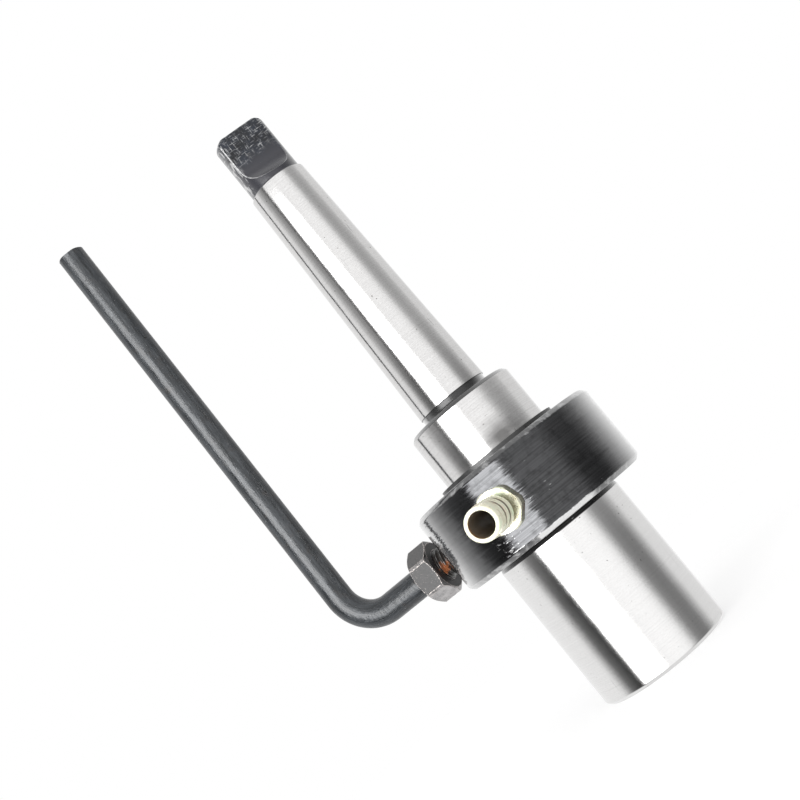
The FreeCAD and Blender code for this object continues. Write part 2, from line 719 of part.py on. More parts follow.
def make_lock_nut():
    """The lock nut on the torque arm's thread, drawn along +X, bevelled at both faces."""
    body = new_body("lock_nut")
    hexagon = new_sketch(body, "nut_hexagon", "YZ_Plane", offset="nut_inner_face")
    add_hexagon(hexagon, "nut_flats", "0")
    add_circle(hexagon, "0", "0", "arm_core_radius + thread_clearance")
    extrude(body, "Pad", hexagon, "nut_height")

    bevels = new_sketch(body, "nut_bevels", "XZ_Plane")
    bevel_radius = "(nut_flats / 2 * nut_chamfer_share)"
    fall = "(nut_corner_radius - %s) * 0.577" % bevel_radius
    past = "nut_countersink"
    clear = "nut_flats / sqrt(3) + nut_countersink"
    add_outline(bevels, [
        ("nut_inner_face - %s" % past, bevel_radius),
        ("nut_inner_face", bevel_radius),
        ("nut_inner_face + %s" % fall, "nut_corner_radius"),
        ("nut_outer_face - %s" % fall, "nut_corner_radius"),
        ("nut_outer_face", bevel_radius),
        ("nut_outer_face + %s" % past, bevel_radius),
        ("nut_outer_face + %s" % past, clear),
        ("nut_inner_face - %s" % past, clear),
    ])
    spin(body, "Groove", bevels, "H_Axis")

    sinks = new_sketch(body, "nut_countersinks", "XZ_Plane")
    hole = "arm_core_radius"
    for face, sign in (("nut_inner_face", "+"), ("nut_outer_face", "-")):
        add_outline(sinks, [
            (face, hole + " - nut_countersink"),
            (face, hole + " + nut_countersink"),
            ("%s %s nut_countersink" % (face, sign), hole),
            ("%s %s nut_countersink" % (face, sign), hole + " - nut_countersink"),
        ])
    spin(body, "Groove", sinks, "H_Axis")
    stand_at(body, "arm_height", "arm_angle")
    return body


PIECES = [
    make_arbor_body(),
    make_socket_screw(0),
    make_socket_screw(1),
    make_journal_clip(),
    make_plunger_keeper(),
    make_plunger(),
    make_spring(),
    make_coolant_ring(),
    make_seal("lower_seal", "ring_bottom + seal_from_ring_end"),
    make_seal("upper_seal", "ring_top - seal_from_ring_end"),
    make_hose_barb(),
    make_torque_arm(),
    make_lock_nut(),
]
doc.recompute()

for item in doc.Objects:
    bad = [word for word in item.State if word in ("Invalid", "Error")]
    if bad:
        raise RuntimeError("%s did not build: %s" % (item.Name, bad))
for piece in PIECES:
    if piece.Shape.isNull() or not piece.Shape.isValid():
        raise RuntimeError("%s has no valid shape" % piece.Label)
    if len(piece.Shape.Solids) != 1:
        raise RuntimeError("%s has %d solids" % (piece.Label, len(piece.Shape.Solids)))

os.makedirs("parts", exist_ok=True)
for piece in PIECES:
    piece.Shape.exportStep("parts/%s.step" % piece.Label)
    box = piece.Shape.BoundBox
    print("%-16s %9.1f mm3   x %7.2f %7.2f   y %7.2f %7.2f   z %7.2f %7.2f" % (
        piece.Label, piece.Shape.Volume, box.XMin, box.XMax, box.YMin, box.YMax,
        box.ZMin, box.ZMax))
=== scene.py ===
import math

import bmesh
import bpy
from mathutils import Matrix, Vector


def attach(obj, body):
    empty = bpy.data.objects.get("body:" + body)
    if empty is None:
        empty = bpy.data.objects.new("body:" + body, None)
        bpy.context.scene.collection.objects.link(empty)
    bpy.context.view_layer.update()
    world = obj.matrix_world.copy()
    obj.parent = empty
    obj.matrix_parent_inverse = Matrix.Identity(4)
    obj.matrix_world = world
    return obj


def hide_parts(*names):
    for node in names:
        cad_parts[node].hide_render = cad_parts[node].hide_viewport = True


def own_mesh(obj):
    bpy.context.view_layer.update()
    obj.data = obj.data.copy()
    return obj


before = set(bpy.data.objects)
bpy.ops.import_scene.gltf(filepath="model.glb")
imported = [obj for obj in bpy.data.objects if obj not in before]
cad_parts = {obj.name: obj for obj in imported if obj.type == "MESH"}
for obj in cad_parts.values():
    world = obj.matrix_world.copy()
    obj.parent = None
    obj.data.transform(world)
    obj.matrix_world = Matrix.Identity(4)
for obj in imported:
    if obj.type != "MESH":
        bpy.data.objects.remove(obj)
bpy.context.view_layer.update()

scene = bpy.context.scene
scene.view_settings.view_transform = "Standard"
MM = 0.001

# Sizes in millimetres and angles in degrees, as in the solids. Heights start at the socket's
# end face, and the places along the barb, the arm and the nut at the arbor's axis
NOSE_RADIUS = 16.5
NOSE_TOP = 37.85
SOCKET_RADIUS = 9.53
SOCKET_DEPTH = 36.0
PILOT_RADIUS = 5.5
PILOT_TOP = 88.0
SCREW_HEIGHT = 19.0
JOURNAL_RADIUS = 13.75
COLLAR_TOP = 73.0
CONE_FOOT = 75.0
CONE_TOP = 140.0
NECK_RADIUS = 6.75
TANG_HALF = 3.15
TANG_TOP = 156.0
RING_LOW = 38.0
RING_HIGH = 58.0
RING_RADIUS = 24.3
RING_BEVEL = 1.1
BARB_HEIGHT = 48.0
BARB_TURN = 2.0
BARB_SEAT = 24.35
ARM_HEIGHT = 47.0
ARM_TURN = -90.0
ROD_RADIUS = 3.45
ROD_START = 33.0
LEG_OUT = 54.3
BEND_RADIUS = 9.5
LEG_TOP = 165.9
NUT_LOW = 27.6
NUT_HIGH = 33.4

# Camera at the photograph's angle
YAW = math.radians(-19.90)
PITCH = math.radians(7.28)
ROLL = math.radians(-39.10)
CAMERA_PLACE = Vector((0.08979, -0.27636, 0.04514))
LENS = 57.38
SENSOR = 36.0


def photo_camera():
    data = bpy.data.cameras.new("camera")
    data.lens = LENS
    data.sensor_width = SENSOR
    data.clip_start, data.clip_end = 0.01, 20.0
    ahead = Vector((math.sin(YAW) * math.cos(PITCH), math.cos(YAW) * math.cos(PITCH),
                    math.sin(PITCH)))
    level = Vector((math.cos(YAW), -math.sin(YAW), 0.0))
    rise = level.cross(ahead)
    right = level * math.cos(ROLL) + rise * math.sin(ROLL)
    up = rise * math.cos(ROLL) - level * math.sin(ROLL)
    camera = bpy.data.objects.new("camera", data)
    camera.matrix_world = Matrix((
        (right.x, up.x, -ahead.x, CAMERA_PLACE.x),
        (right.y, up.y, -ahead.y, CAMERA_PLACE.y),
        (right.z, up.z, -ahead.z, CAMERA_PLACE.z),
        (0.0, 0.0, 0.0, 1.0)))
    scene.collection.objects.link(camera)
    scene.camera = camera


photo_camera()


class Tree:
    """Short ways to write a node tree."""

    def __init__(self, owner):
        owner.use_nodes = True
        self.owner = owner
        self.tree = owner.node_tree
        self.tree.nodes.clear()

    def add(self, kind, inputs=None, **settings):
        node = self.tree.nodes.new(kind)
        for key, value in settings.items():
            setattr(node, key, value)
        for key, value in (inputs or {}).items():
            self.feed(node.inputs[key], value)
        return node

    def feed(self, socket, value):
        if isinstance(value, bpy.types.NodeSocket):
            self.tree.links.new(value, socket)
        else:
            socket.default_value = value

    def math(self, operation, *values):
        return self.add("ShaderNodeMath", dict(enumerate(values)), operation=operation).outputs[0]

    def plus(self, first, second):
        return self.math("ADD", first, second)

    def minus(self, first, second):
        return self.math("SUBTRACT", first, second)

    def times(self, first, second):
        return self.math("MULTIPLY", first, second)

    def larger(self, first, second):
        return self.math("MAXIMUM", first, second)

    def vector(self, operation, *values):
        node = self.add("ShaderNodeVectorMath", dict(enumerate(values)), operation=operation)
        return node.outputs[0]

    def value_of(self, operation, *values):
        """A vector operation whose answer is one number."""
        node = self.add("ShaderNodeVectorMath", dict(enumerate(values)), operation=operation)
        return node.outputs["Value"]

    def scaled(self, vector, factor):
        node = self.add("ShaderNodeVectorMath", {0: vector, "Scale": factor}, operation="SCALE")
        return node.outputs[0]

    def stretched(self, vector, factors, shift=(0.0, 0.0, 0.0)):
        return self.add("ShaderNodeMapping", {"Vector": vector, "Scale": factors,
                                              "Location": shift}).outputs[0]

    def noise(self, vector, scale, detail, roughness):
        return self.add("ShaderNodeTexNoise", {"Vector": vector, "Scale": scale,
                                               "Detail": detail,
                                               "Roughness": roughness}).outputs["Fac"]

    def spread(self, value, low, high, to_low=0.0, to_high=1.0):
        """value mapped from low..high to to_low..to_high, held at both ends."""
        node = self.add("ShaderNodeMapRange", {"Value": value, "From Min": low, "From Max": high,
                                               "To Min": to_low, "To Max": to_high})
        return node.outputs[0]

    def mix(self, share, first, second):
        node = self.add("ShaderNodeMix", data_type="RGBA")
        self.feed(node.inputs[0], share)
        self.feed(node.inputs[6], first)
        self.feed(node.inputs[7], second)
        return node.outputs[2]

    def place(self):
        """The point's own coordinates in metres, in the frame of its object."""
        return self.add("ShaderNodeTexCoord").outputs["Object"]

    def split(self, vector):
        return self.add("ShaderNodeSeparateXYZ", {0: vector}).outputs

    def finish(self, shader):
        self.add("ShaderNodeOutputMaterial", {"Surface": shader})
        return self.owner


def grey(level):
    return (level, level, level, 1.0)


# Marks of use, where the photograph shows them: the bare stretch of the ring's lower bevel, as
# angles from -Y towards +X, the chips under the barb and the rust on the arm's thread, which is in
# the thread's own coordinates. Also the middle of a darker patch on the collar
WORN_FROM = math.radians(9.0)
WORN_TO = math.radians(50.0)
CHIPS = (-0.0028, -0.0241, 0.0403)
COLLAR_DARK_PATCH = (0.0072, -0.0117, 0.0600)
RUST = (0.0037, -0.0008, 0.0261)


def around_tilt(tree, place, *layers):
    """The surface normal swung a little about the turned axis. Each layer of marks gives
    an amount, and how quickly the marks change around and along the axis."""
    swing = 0.0
    for amount, around_scale, along_scale in layers:
        marks = tree.noise(tree.stretched(place, (around_scale, around_scale, along_scale)),
                           1.0, 2.0, 0.6)
        marks = tree.times(tree.minus(marks, 0.5), amount)
        swing = tree.plus(swing, marks)
    axis = tree.add("ShaderNodeVectorTransform", {0: (0.0, 0.0, 1.0)}, vector_type="VECTOR",
                    convert_from="OBJECT", convert_to="WORLD").outputs[0]
    normal = tree.add("ShaderNodeNewGeometry").outputs["Normal"]
    around = tree.vector("CROSS_PRODUCT", axis, normal)
    return tree.vector("NORMALIZE", tree.vector("ADD", normal, tree.scaled(around, swing)))


def principled(tree, inputs):
    return tree.add("ShaderNodeBsdfPrincipled", inputs).outputs[0]


def bumped(tree, height, strength, distance, normal=None):
    inputs = {"Height": height, "Strength": strength, "Distance": distance}
    if normal:
        inputs["Normal"] = normal
    return tree.add("ShaderNodeBump", inputs).outputs[0]


def ground_steel():
    """Bright steel, ground round its axis, with a mottled grain, small pits and a darker patch on
    the collar.
    """
    tree = Tree(bpy.data.materials.new("ground_steel"))
    place = tree.place()
    fine = tree.noise(tree.stretched(place, (25.0, 25.0, 9000.0)), 1.0, 2.0, 0.6)
    broad = tree.noise(tree.stretched(place, (90.0, 90.0, 500.0)), 1.0, 3.0, 0.6)
    grain = tree.noise(tree.stretched(place, (2400.0, 2400.0, 4200.0)), 1.0, 2.0, 0.6)
    shade_of = tree.plus(tree.times(fine, 0.5), tree.times(grain, 0.5))
    colour = tree.mix(tree.spread(shade_of, 0.3, 0.7), (0.62, 0.61, 0.605, 1.0),
                      (0.84, 0.835, 0.83, 1.0))
    on_nose = tree.spread(tree.split(place)[2], 0.036, 0.040, 0.55, 0.0)
    colour = tree.mix(on_nose, colour, (0.90, 0.895, 0.89, 1.0))
    # The collar is painted darker in a patch round one place
    to_dark_patch = tree.value_of("DISTANCE", place, COLLAR_DARK_PATCH)
    dark_patch = tree.spread(tree.plus(to_dark_patch, tree.times(broad, 0.003)), 0.0030, 0.0072, 0.85, 0.0)
    colour = tree.mix(dark_patch, colour, (0.10, 0.097, 0.095, 1.0))
    specks = tree.spread(tree.noise(place, 1500.0, 2.0, 0.5), 0.735, 0.765)
    colour = tree.mix(specks, colour, (0.07, 0.06, 0.05, 1.0))
    scratch = tree.noise(tree.stretched(place, (2600.0, 2600.0, 90.0)), 1.0, 1.0, 0.4)
    scratch = tree.spread(scratch, 0.77, 0.80)
    colour = tree.mix(scratch, colour, grey(0.42))
    rough = tree.plus(tree.spread(broad, 0.3, 0.7, 0.10, 0.13), tree.times(scratch, 0.25))
    normal = around_tilt(tree, place, (0.02, 6.0, 3600.0), (0.11, 5200.0, 6200.0),
                         (0.02, 60.0, 160.0))
    shader = principled(tree, {"Base Color": colour, "Metallic": 1.0, "Roughness": rough,
                               "Normal": normal})
    return tree.finish(shader)


# How much oxide mirrors, from 0 where it faces the eye to 1 at its outline
EDGE_LEVELS = ((0.25, 0.0), (0.33, 0.06), (0.41, 0.13), (0.5, 0.27), (0.59, 0.46),
               (0.69, 0.67), (0.8, 0.85), (1.0, 1.0))
LEVEL_FACE_SHARE = 0.35


def edge_gloss(tree, shader, rough, normal, amount=1.0):
    """Black oxide mirrors like bare metal where it is seen at a low angle, though less on
    level faces."""
    facing = tree.add("ShaderNodeLayerWeight").outputs["Facing"]
    ramp = tree.add("ShaderNodeValToRGB", {"Fac": facing})
    fill_ramp(ramp.color_ramp, EDGE_LEVELS)
    bright = principled(tree, {"Base Color": grey(0.88), "Metallic": 1.0, "Roughness": rough,
                               "Normal": normal})
    upright = tree.split(tree.add("ShaderNodeNewGeometry").outputs["Normal"])[2]
    share = tree.times(ramp.outputs[0],
                       tree.spread(tree.math("ABSOLUTE", upright), 0.5, 0.9, amount,
                                   amount * LEVEL_FACE_SHARE))
    return tree.add("ShaderNodeMixShader", {0: share, 1: shader, 2: bright}).outputs[0]


def fill_ramp(ramp, levels):
    """A colour ramp with a grey stop for each (position, level)."""
    stops = ramp.elements
    while len(stops) > 1:
        stops.remove(stops[-1])
    stops[0].position = levels[0][0]
    stops[0].color = grey(levels[0][1])
    for position, level in levels[1:]:
        stop = stops.new(position)
        stop.color = grey(level)


def black_oxide(name):
    """Black oxide over turned steel, with pale rubbed specks."""
    tree = Tree(bpy.data.materials.new(name))
    place = tree.place()
    fine = tree.noise(tree.stretched(place, (12.0, 12.0, 4800.0)), 1.0, 3.0, 0.7)
    cloud = tree.noise(place, 260.0, 4.0, 0.6)
    colour = tree.mix(fine, grey(0.010), grey(0.028))
    dashes = tree.noise(tree.stretched(place, (900.0, 900.0, 3800.0)), 1.0, 1.0, 0.4)
    dashes = tree.spread(dashes, 0.775, 0.80)
    colour = tree.mix(dashes, colour, grey(0.42))
    rough = tree.plus(tree.spread(fine, 0.3, 0.7, 0.16, 0.28),
                      tree.times(tree.spread(cloud, 0.4, 0.6), 0.06))
    normal = around_tilt(tree, place, (0.20, 6.0, 3000.0))
    normal = bumped(tree, fine, 0.12, 0.00005, normal)
    shader = principled(tree, {"Base Color": colour, "Metallic": 0.0, "Roughness": rough,
                               "IOR": 1.55, "Normal": normal})
    return tree.finish(edge_gloss(tree, shader, rough, normal))


# The way that the tang's milled flat faces, and the way across it
TANG_TURN = math.radians(-59.5)
TANG_OUT = (math.cos(TANG_TURN), math.sin(TANG_TURN), 0.0)
TANG_ACROSS = (-math.sin(TANG_TURN), math.cos(TANG_TURN), 0.0)


def tang_black(name, edge):
    """Glossy blue-black oxide with short pale scratches along and across the flats. The edge
    version is rubbed to bare steel."""
    tree = Tree(bpy.data.materials.new(name))
    place = tree.place()
    across = tree.value_of("DOT_PRODUCT", place, TANG_ACROSS)
    out = tree.value_of("DOT_PRODUCT", place, TANG_OUT)
    height = tree.split(place)[2]
    level = tree.add("ShaderNodeCombineXYZ", {0: across, 1: out, 2: height}).outputs[0]
    cloud = tree.noise(place, 330.0, 4.0, 0.6)
    fine = tree.noise(place, 2600.0, 3.0, 0.6)
    colour = tree.mix(tree.spread(cloud, 0.35, 0.65), (0.004, 0.0045, 0.006, 1.0),
                      (0.014, 0.018, 0.027, 1.0))
    low = tree.spread(tree.plus(height, tree.times(cloud, 0.004)), 0.1520, 0.1480, 0.0, 0.9)
    colour = tree.mix(low, colour, (0.034, 0.034, 0.040, 1.0))
    along = tree.noise(tree.stretched(level, (4400.0, 300.0, 520.0)), 1.0, 1.0, 0.4)
    sideways = tree.noise(tree.stretched(level, (560.0, 300.0, 4600.0), (0.3, 0.0, 0.7)),
                          1.0, 1.0, 0.4)
    upper = tree.spread(tree.plus(height, tree.times(cloud, 0.006)), 0.1505, 0.1530)
    left = tree.spread(across, -0.0048, -0.0060)
    marks = tree.larger(tree.spread(along, 0.60, 0.72, 0.0, 0.6),
                        tree.spread(sideways, 0.58, 0.70, 0.0, 0.6))
    marks = tree.times(marks, tree.times(upper, tree.spread(cloud, 0.38, 0.52, 0.15, 1.0)))
    marks = tree.larger(marks, tree.times(left, tree.spread(along, 0.55, 0.62, 0.0, 0.8)))
    on_flat = tree.spread(tree.math("ABSOLUTE", out), 0.0036, 0.0033)
    marks = tree.times(marks, on_flat)
    facing = tree.add("ShaderNodeNewGeometry").outputs["Normal"]
    milled = tree.larger(tree.split(facing)[2],
                         tree.math("ABSOLUTE", tree.value_of("DOT_PRODUCT", facing, TANG_OUT)))
    radius = tree.value_of("LENGTH", tree.vector("MULTIPLY", place, (1.0, 1.0, 0.0)))
    rim = tree.times(tree.spread(radius, 0.00644, 0.00652), tree.spread(radius, 0.00674, 0.00672))
    rim = tree.times(rim, tree.spread(milled, 0.55, 0.65))
    rim = tree.times(rim, tree.spread(height, 0.1548, 0.1542))
    if edge:
        rim = 1.0
    worn = tree.times(tree.spread(fine, 0.36, 0.50, 0.2, 1.0),
                      tree.spread(across, 0.003, -0.002, 0.25, 1.0))
    marks = tree.larger(marks, tree.times(rim, worn))
    colour = tree.mix(tree.times(marks, 0.85), colour, grey(0.60))
    rough = tree.plus(tree.spread(cloud, 0.3, 0.7, 0.14, 0.30), tree.times(marks, 0.18))
    height_of = tree.minus(fine, tree.times(marks, 2.0))
    normal = bumped(tree, height_of, 0.30, 0.00006)
    shader = principled(tree, {"Base Color": colour,
                               "Metallic": tree.times(marks, 0.5),
                               "Roughness": rough, "IOR": 1.45, "Normal": normal})
    return tree.finish(edge_gloss(tree, shader, rough, normal, 0.45))


def worn_black():
    """Black oxide on the ring, rubbed pale along both bevels, with chips by the barb."""
    tree = Tree(bpy.data.materials.new("ring_black"))
    place = tree.place()
    parts = tree.split(place)
    fine = tree.noise(tree.stretched(place, (40.0, 40.0, 6500.0)), 1.0, 3.0, 0.7)
    cloud = tree.noise(place, 420.0, 4.0, 0.65)
    middle = (RING_LOW + RING_HIGH) / 2 * MM
    from_middle = tree.math("ABSOLUTE", tree.minus(parts[2], middle))
    bevel = tree.plus(from_middle, tree.times(cloud, 0.0009))
    radius = tree.value_of("LENGTH", tree.vector("MULTIPLY", place, (1.0, 1.0, 0.0)))
    outside = tree.spread(radius, 0.0231, 0.0233)
    on_bevel = tree.times(tree.spread(bevel, 0.00925, 0.00945), outside)
    turn = tree.math("ARCTAN2", parts[0], tree.times(parts[1], -1.0))
    turn = tree.plus(turn, tree.times(cloud, 0.10))
    bare = tree.times(tree.spread(turn, WORN_FROM, WORN_FROM + 0.03),
                      tree.spread(turn, WORN_TO, WORN_TO - 0.10))
    below = tree.spread(parts[2], 0.047, 0.049, 1.0, 0.0)
    bare = tree.times(bare, below)
    share = tree.larger(tree.times(bare, 0.95), tree.spread(cloud, 0.50, 0.62, 0.08, 0.38))
    rubbed = tree.times(on_bevel, share)
    hair = tree.noise(tree.stretched(place, (30.0, 30.0, 3600.0)), 1.0, 2.0, 0.6)
    hair = tree.times(tree.spread(hair, 0.36, 0.56, 0.68, 1.0),
                      tree.spread(cloud, 0.34, 0.5, 0.70, 1.0))
    colour = tree.mix(hair, grey(0.0), (0.084, 0.085, 0.088, 1.0))
    dashes = tree.noise(tree.stretched(place, (620.0, 620.0, 3400.0), (3.0, 1.0, 2.0)),
                        1.0, 1.0, 0.4)
    dashes = tree.spread(dashes, 0.775, 0.80, 0.0, 0.3)
    to_chips = tree.value_of("DISTANCE", place, CHIPS)
    chipped = tree.noise(tree.stretched(place, (700.0, 700.0, 1900.0), (0.0, 2.0, 0.0)),
                         1.0, 3.0, 0.6)
    chipped = tree.minus(chipped, tree.times(to_chips, 32.0))
    dashes = tree.larger(dashes, tree.spread(chipped, 0.545, 0.565, 0.0, 0.45))
    rubbed = tree.larger(rubbed, dashes)
    colour = tree.mix(rubbed, colour, grey(0.86))
    rough = tree.plus(tree.spread(fine, 0.3, 0.7, 0.08, 0.17), tree.times(rubbed, 0.2))
    normal = around_tilt(tree, place, (0.15, 110.0, 3000.0), (0.16, 420.0, 5200.0),
                         (0.05, 30.0, 260.0))
    shader = principled(tree, {"Base Color": colour,
                               "Metallic": tree.spread(rubbed, 0.0, 1.0, 0.95, 0.75),
                               "Roughness": rough, "Normal": normal})
    return tree.finish(edge_gloss(tree, shader, rough, normal))


def zinc_yellow(name, metal, shaded_ridges):
    """Zinc with a pale yellow passivation that turns green and pink in places. On the barb, each
    step gets a brown line of painted shade near its root, and the neck an olive tint of painted
    shade."""
    tree = Tree(bpy.data.materials.new(name))
    place = tree.place()
    cloud = tree.noise(place, 380.0, 3.0, 0.6)
    tint = tree.noise(place, 240.0, 2.0, 0.5)
    colour = tree.mix(tree.spread(cloud, 0.35, 0.65), (0.98, 0.93, 0.70, 1.0),
                      (0.93, 0.93, 0.76, 1.0))
    colour = tree.mix(tree.spread(tint, 0.54, 0.66, 0.0, 0.6), colour, (0.97, 0.72, 0.60, 1.0))
    colour = tree.mix(tree.spread(tint, 0.44, 0.32, 0.0, 0.6), colour, (0.72, 0.86, 0.60, 1.0))
    if shaded_ridges:
        along = tree.split(place)[2]
        step = tree.math("DIVIDE", tree.minus(along, 0.03025), 0.0033)
        step = tree.math("FRACT", step)
        # Painted shade: a brown line near the root of each ridge, just behind the next crest
        line = tree.times(tree.spread(step, 0.46, 0.57), tree.spread(step, 0.68, 0.92, 1.0, 0.4))
        line = tree.times(line, tree.spread(along, 0.03685, 0.03675))
        line = tree.times(line, tree.spread(along, 0.0300, 0.0302))
        colour = tree.mix(line, colour, (0.10, 0.065, 0.03, 1.0))
        # Painted shade: an olive tint on the neck, where the first crest shades it
        neck = tree.spread(along, 0.0304, 0.0302)
        colour = tree.mix(tree.times(neck, 0.9), colour, (0.11, 0.105, 0.05, 1.0))
    fine = tree.noise(tree.stretched(place, (40.0, 40.0, 6000.0)), 1.0, 2.0, 0.6)
    rough = tree.spread(cloud, 0.3, 0.7, 0.22, 0.34)
    normal = bumped(tree, fine, 0.10, 0.00004)
    shader = principled(tree, {"Base Color": colour, "Metallic": metal, "Roughness": rough,
                               "Normal": normal})
    return tree.finish(shader)


def barb_root():
    """Brown passivation, on the barb's inner rim."""
    tree = Tree(bpy.data.materials.new("barb_root"))
    cloud = tree.noise(tree.place(), 700.0, 3.0, 0.6)
    colour = tree.mix(cloud, (0.30, 0.13, 0.06, 1.0), (0.44, 0.30, 0.16, 1.0))
    shader = principled(tree, {"Base Color": colour, "Metallic": 0.3,
                               "Roughness": tree.spread(cloud, 0.3, 0.7, 0.25, 0.4)})
    return tree.finish(shader)


def bore_dark():
    """The barb's inside, dull and brownish."""
    tree = Tree(bpy.data.materials.new("bore_dark"))
    cloud = tree.noise(tree.place(), 500.0, 3.0, 0.6)
    colour = tree.mix(cloud, (0.17, 0.15, 0.12, 1.0), (0.30, 0.24, 0.17, 1.0))
    shader = principled(tree, {"Base Color": colour, "Metallic": 0.2,
                               "Roughness": tree.spread(cloud, 0.3, 0.7, 0.3, 0.5)})
    return tree.finish(shader)


# For each part of the nut: its darkest and lightest grey, metallic share and least roughness. The
# front is a darker copy of the side, as painted shade
NUT_KINDS = {"side": (0.34, 0.52, 0.85, 0.24),
             "front": (0.034, 0.062, 0.0, 0.44),
             "edge": (0.05, 0.12, 0.3, 0.30)}


def nut_steel(name, kind):
    """The nut's steel: bare on its sides, and rubbed to a sparkle on the edges. The front kind is
    a darker copy of the sides, as painted shade, and the sides have painted shade on their upper
    faces."""
    tree = Tree(bpy.data.materials.new(name))
    place = tree.place()
    cloud = tree.noise(place, 500.0, 4.0, 0.65)
    grain = tree.noise(place, 4200.0, 2.0, 0.5)
    dark, light, metal, low_rough = NUT_KINDS[kind]
    colour = tree.mix(tree.spread(cloud, 0.35, 0.65), (dark, dark * 0.98, dark * 0.98, 1.0),
                      (light, light * 0.97, light * 0.97, 1.0))
    if kind == "side":
        # Painted shade: the upper faces of the sides are darkened
        upper = tree.spread(tree.split(place)[1], 0.0036, 0.0040, 0.0, 0.88)
        colour = tree.mix(upper, colour, grey(0.06))
    pale = tree.spread(grain, 0.42, 0.56) if kind == "edge" else tree.spread(grain, 0.69, 0.74)
    colour = tree.mix(pale, colour, (0.66, 0.60, 0.57, 1.0))
    colour = tree.mix(tree.spread(grain, 0.34, 0.28), colour, grey(0.02))
    rough = tree.spread(cloud, 0.3, 0.7, low_rough, low_rough + 0.14)
    normal = bumped(tree, grain, 0.25, 0.00004)
    metallic = tree.larger(tree.times(pale, 0.6), metal)
    shader = principled(tree, {"Base Color": colour, "Metallic": metallic,
                               "Roughness": rough, "IOR": 1.55, "Normal": normal})
    return tree.finish(shader)


def gunmetal_rod():
    """Drawn bar, darkened, with lengthwise streaks and small pits."""
    tree = Tree(bpy.data.materials.new("gunmetal_rod"))
    along = tree.add("ShaderNodeUVMap").outputs[0]
    place = tree.place()
    streak = tree.noise(tree.stretched(along, (26.0, 90.0, 1.0)), 1.0, 4.0, 0.7)
    fibre = tree.noise(tree.stretched(along, (70.0, 260.0, 1.0)), 1.0, 3.0, 0.6)
    cloud = tree.noise(place, 330.0, 4.0, 0.65)
    colour = tree.mix(tree.spread(streak, 0.35, 0.65), (0.010, 0.012, 0.014, 1.0),
                      (0.046, 0.051, 0.057, 1.0))
    colour = tree.mix(tree.spread(fibre, 0.58, 0.70, 0.0, 0.5), colour, (0.105, 0.113, 0.120, 1.0))
    nicks = tree.noise(tree.stretched(along, (700.0, 700.0, 1.0)), 1.0, 2.0, 0.5)
    nicks = tree.spread(nicks, 0.72, 0.76)
    colour = tree.mix(nicks, colour, grey(0.62))
    colour = tree.mix(tree.spread(cloud, 0.55, 0.7, 0.0, 0.5), colour, (0.035, 0.03, 0.027, 1.0))
    pits = tree.spread(tree.noise(place, 900.0, 2.0, 0.5), 0.70, 0.74)
    colour = tree.mix(pits, colour, grey(0.004))
    rough = tree.spread(streak, 0.3, 0.7, 0.20, 0.36)
    dents = tree.noise(tree.stretched(place, (900.0, 900.0, 420.0)), 1.0, 3.0, 0.6)
    height = tree.minus(tree.plus(streak, fibre), tree.times(pits, 2.0))
    height = tree.plus(height, tree.times(dents, 2.4))
    normal = bumped(tree, height, 0.50, 0.00008)
    shader = principled(tree, {"Base Color": colour, "Metallic": 0.15, "Roughness": rough,
                               "IOR": 1.62, "Normal": normal})
    return tree.finish(shader)


def rusty_thread():
    """The arm's rolled thread: dark, with painted glints on its crests and one small patch of
    rust.
    """
    tree = Tree(bpy.data.materials.new("arm_thread"))
    place = tree.place()
    cloud = tree.noise(place, 420.0, 4.0, 0.65)
    grain = tree.noise(place, 3000.0, 3.0, 0.6)
    radius = tree.value_of("LENGTH", tree.vector("MULTIPLY", place, (1.0, 1.0, 0.0)))
    crest_glint = tree.spread(radius, 0.00387, 0.00395)
    colour = tree.mix(cloud, (0.008, 0.007, 0.006, 1.0), (0.040, 0.034, 0.030, 1.0))
    # Painted glint: the crests are painted a lighter grey
    colour = tree.mix(tree.times(crest_glint, 0.6), colour, grey(0.30))
    to_rust = tree.value_of("DISTANCE", place, RUST)
    rust = tree.minus(cloud, tree.times(to_rust, 150.0))
    rust = tree.spread(rust, 0.28, 0.40)
    rust_colour = tree.mix(grain, (0.10, 0.025, 0.008, 1.0), (0.34, 0.11, 0.03, 1.0))
    colour = tree.mix(rust, colour, rust_colour)
    metal = tree.times(crest_glint, tree.spread(rust, 0.0, 1.0, 0.5, 0.0))
    rough = tree.spread(rust, 0.0, 1.0, 0.24, 0.70)
    normal = bumped(tree, grain, 0.3, 0.00006)
    shader = principled(tree, {"Base Color": colour, "Metallic": metal, "Roughness": rough,
                               "Normal": normal})
    return tree.finish(shader)


def dark_steel():
    """Phosphated spring steel, for the snap rings and the spring."""
    tree = Tree(bpy.data.materials.new("spring_steel"))
    place = tree.place()
    cloud = tree.noise(place, 800.0, 3.0, 0.6)
    colour = tree.mix(cloud, grey(0.035), grey(0.10))
    shader = principled(tree, {"Base Color": colour, "Metallic": 0.6,
                               "Roughness": tree.spread(cloud, 0.3, 0.7, 0.25, 0.4),
                               "Normal": bumped(tree, cloud, 0.2, 0.00003)})
    return tree.finish(shader)


def seal_rubber():
    """Matt nitrile rubber, for the seals."""
    tree = Tree(bpy.data.materials.new("seal_rubber"))
    cloud = tree.noise(tree.place(), 900.0, 2.0, 0.5)
    colour = tree.mix(cloud, grey(0.012), grey(0.024))
    shader = principled(tree, {"Base Color": colour, "Metallic": 0.0, "Roughness": 0.55,
                               "Normal": bumped(tree, cloud, 0.15, 0.00003)})
    return tree.finish(shader)


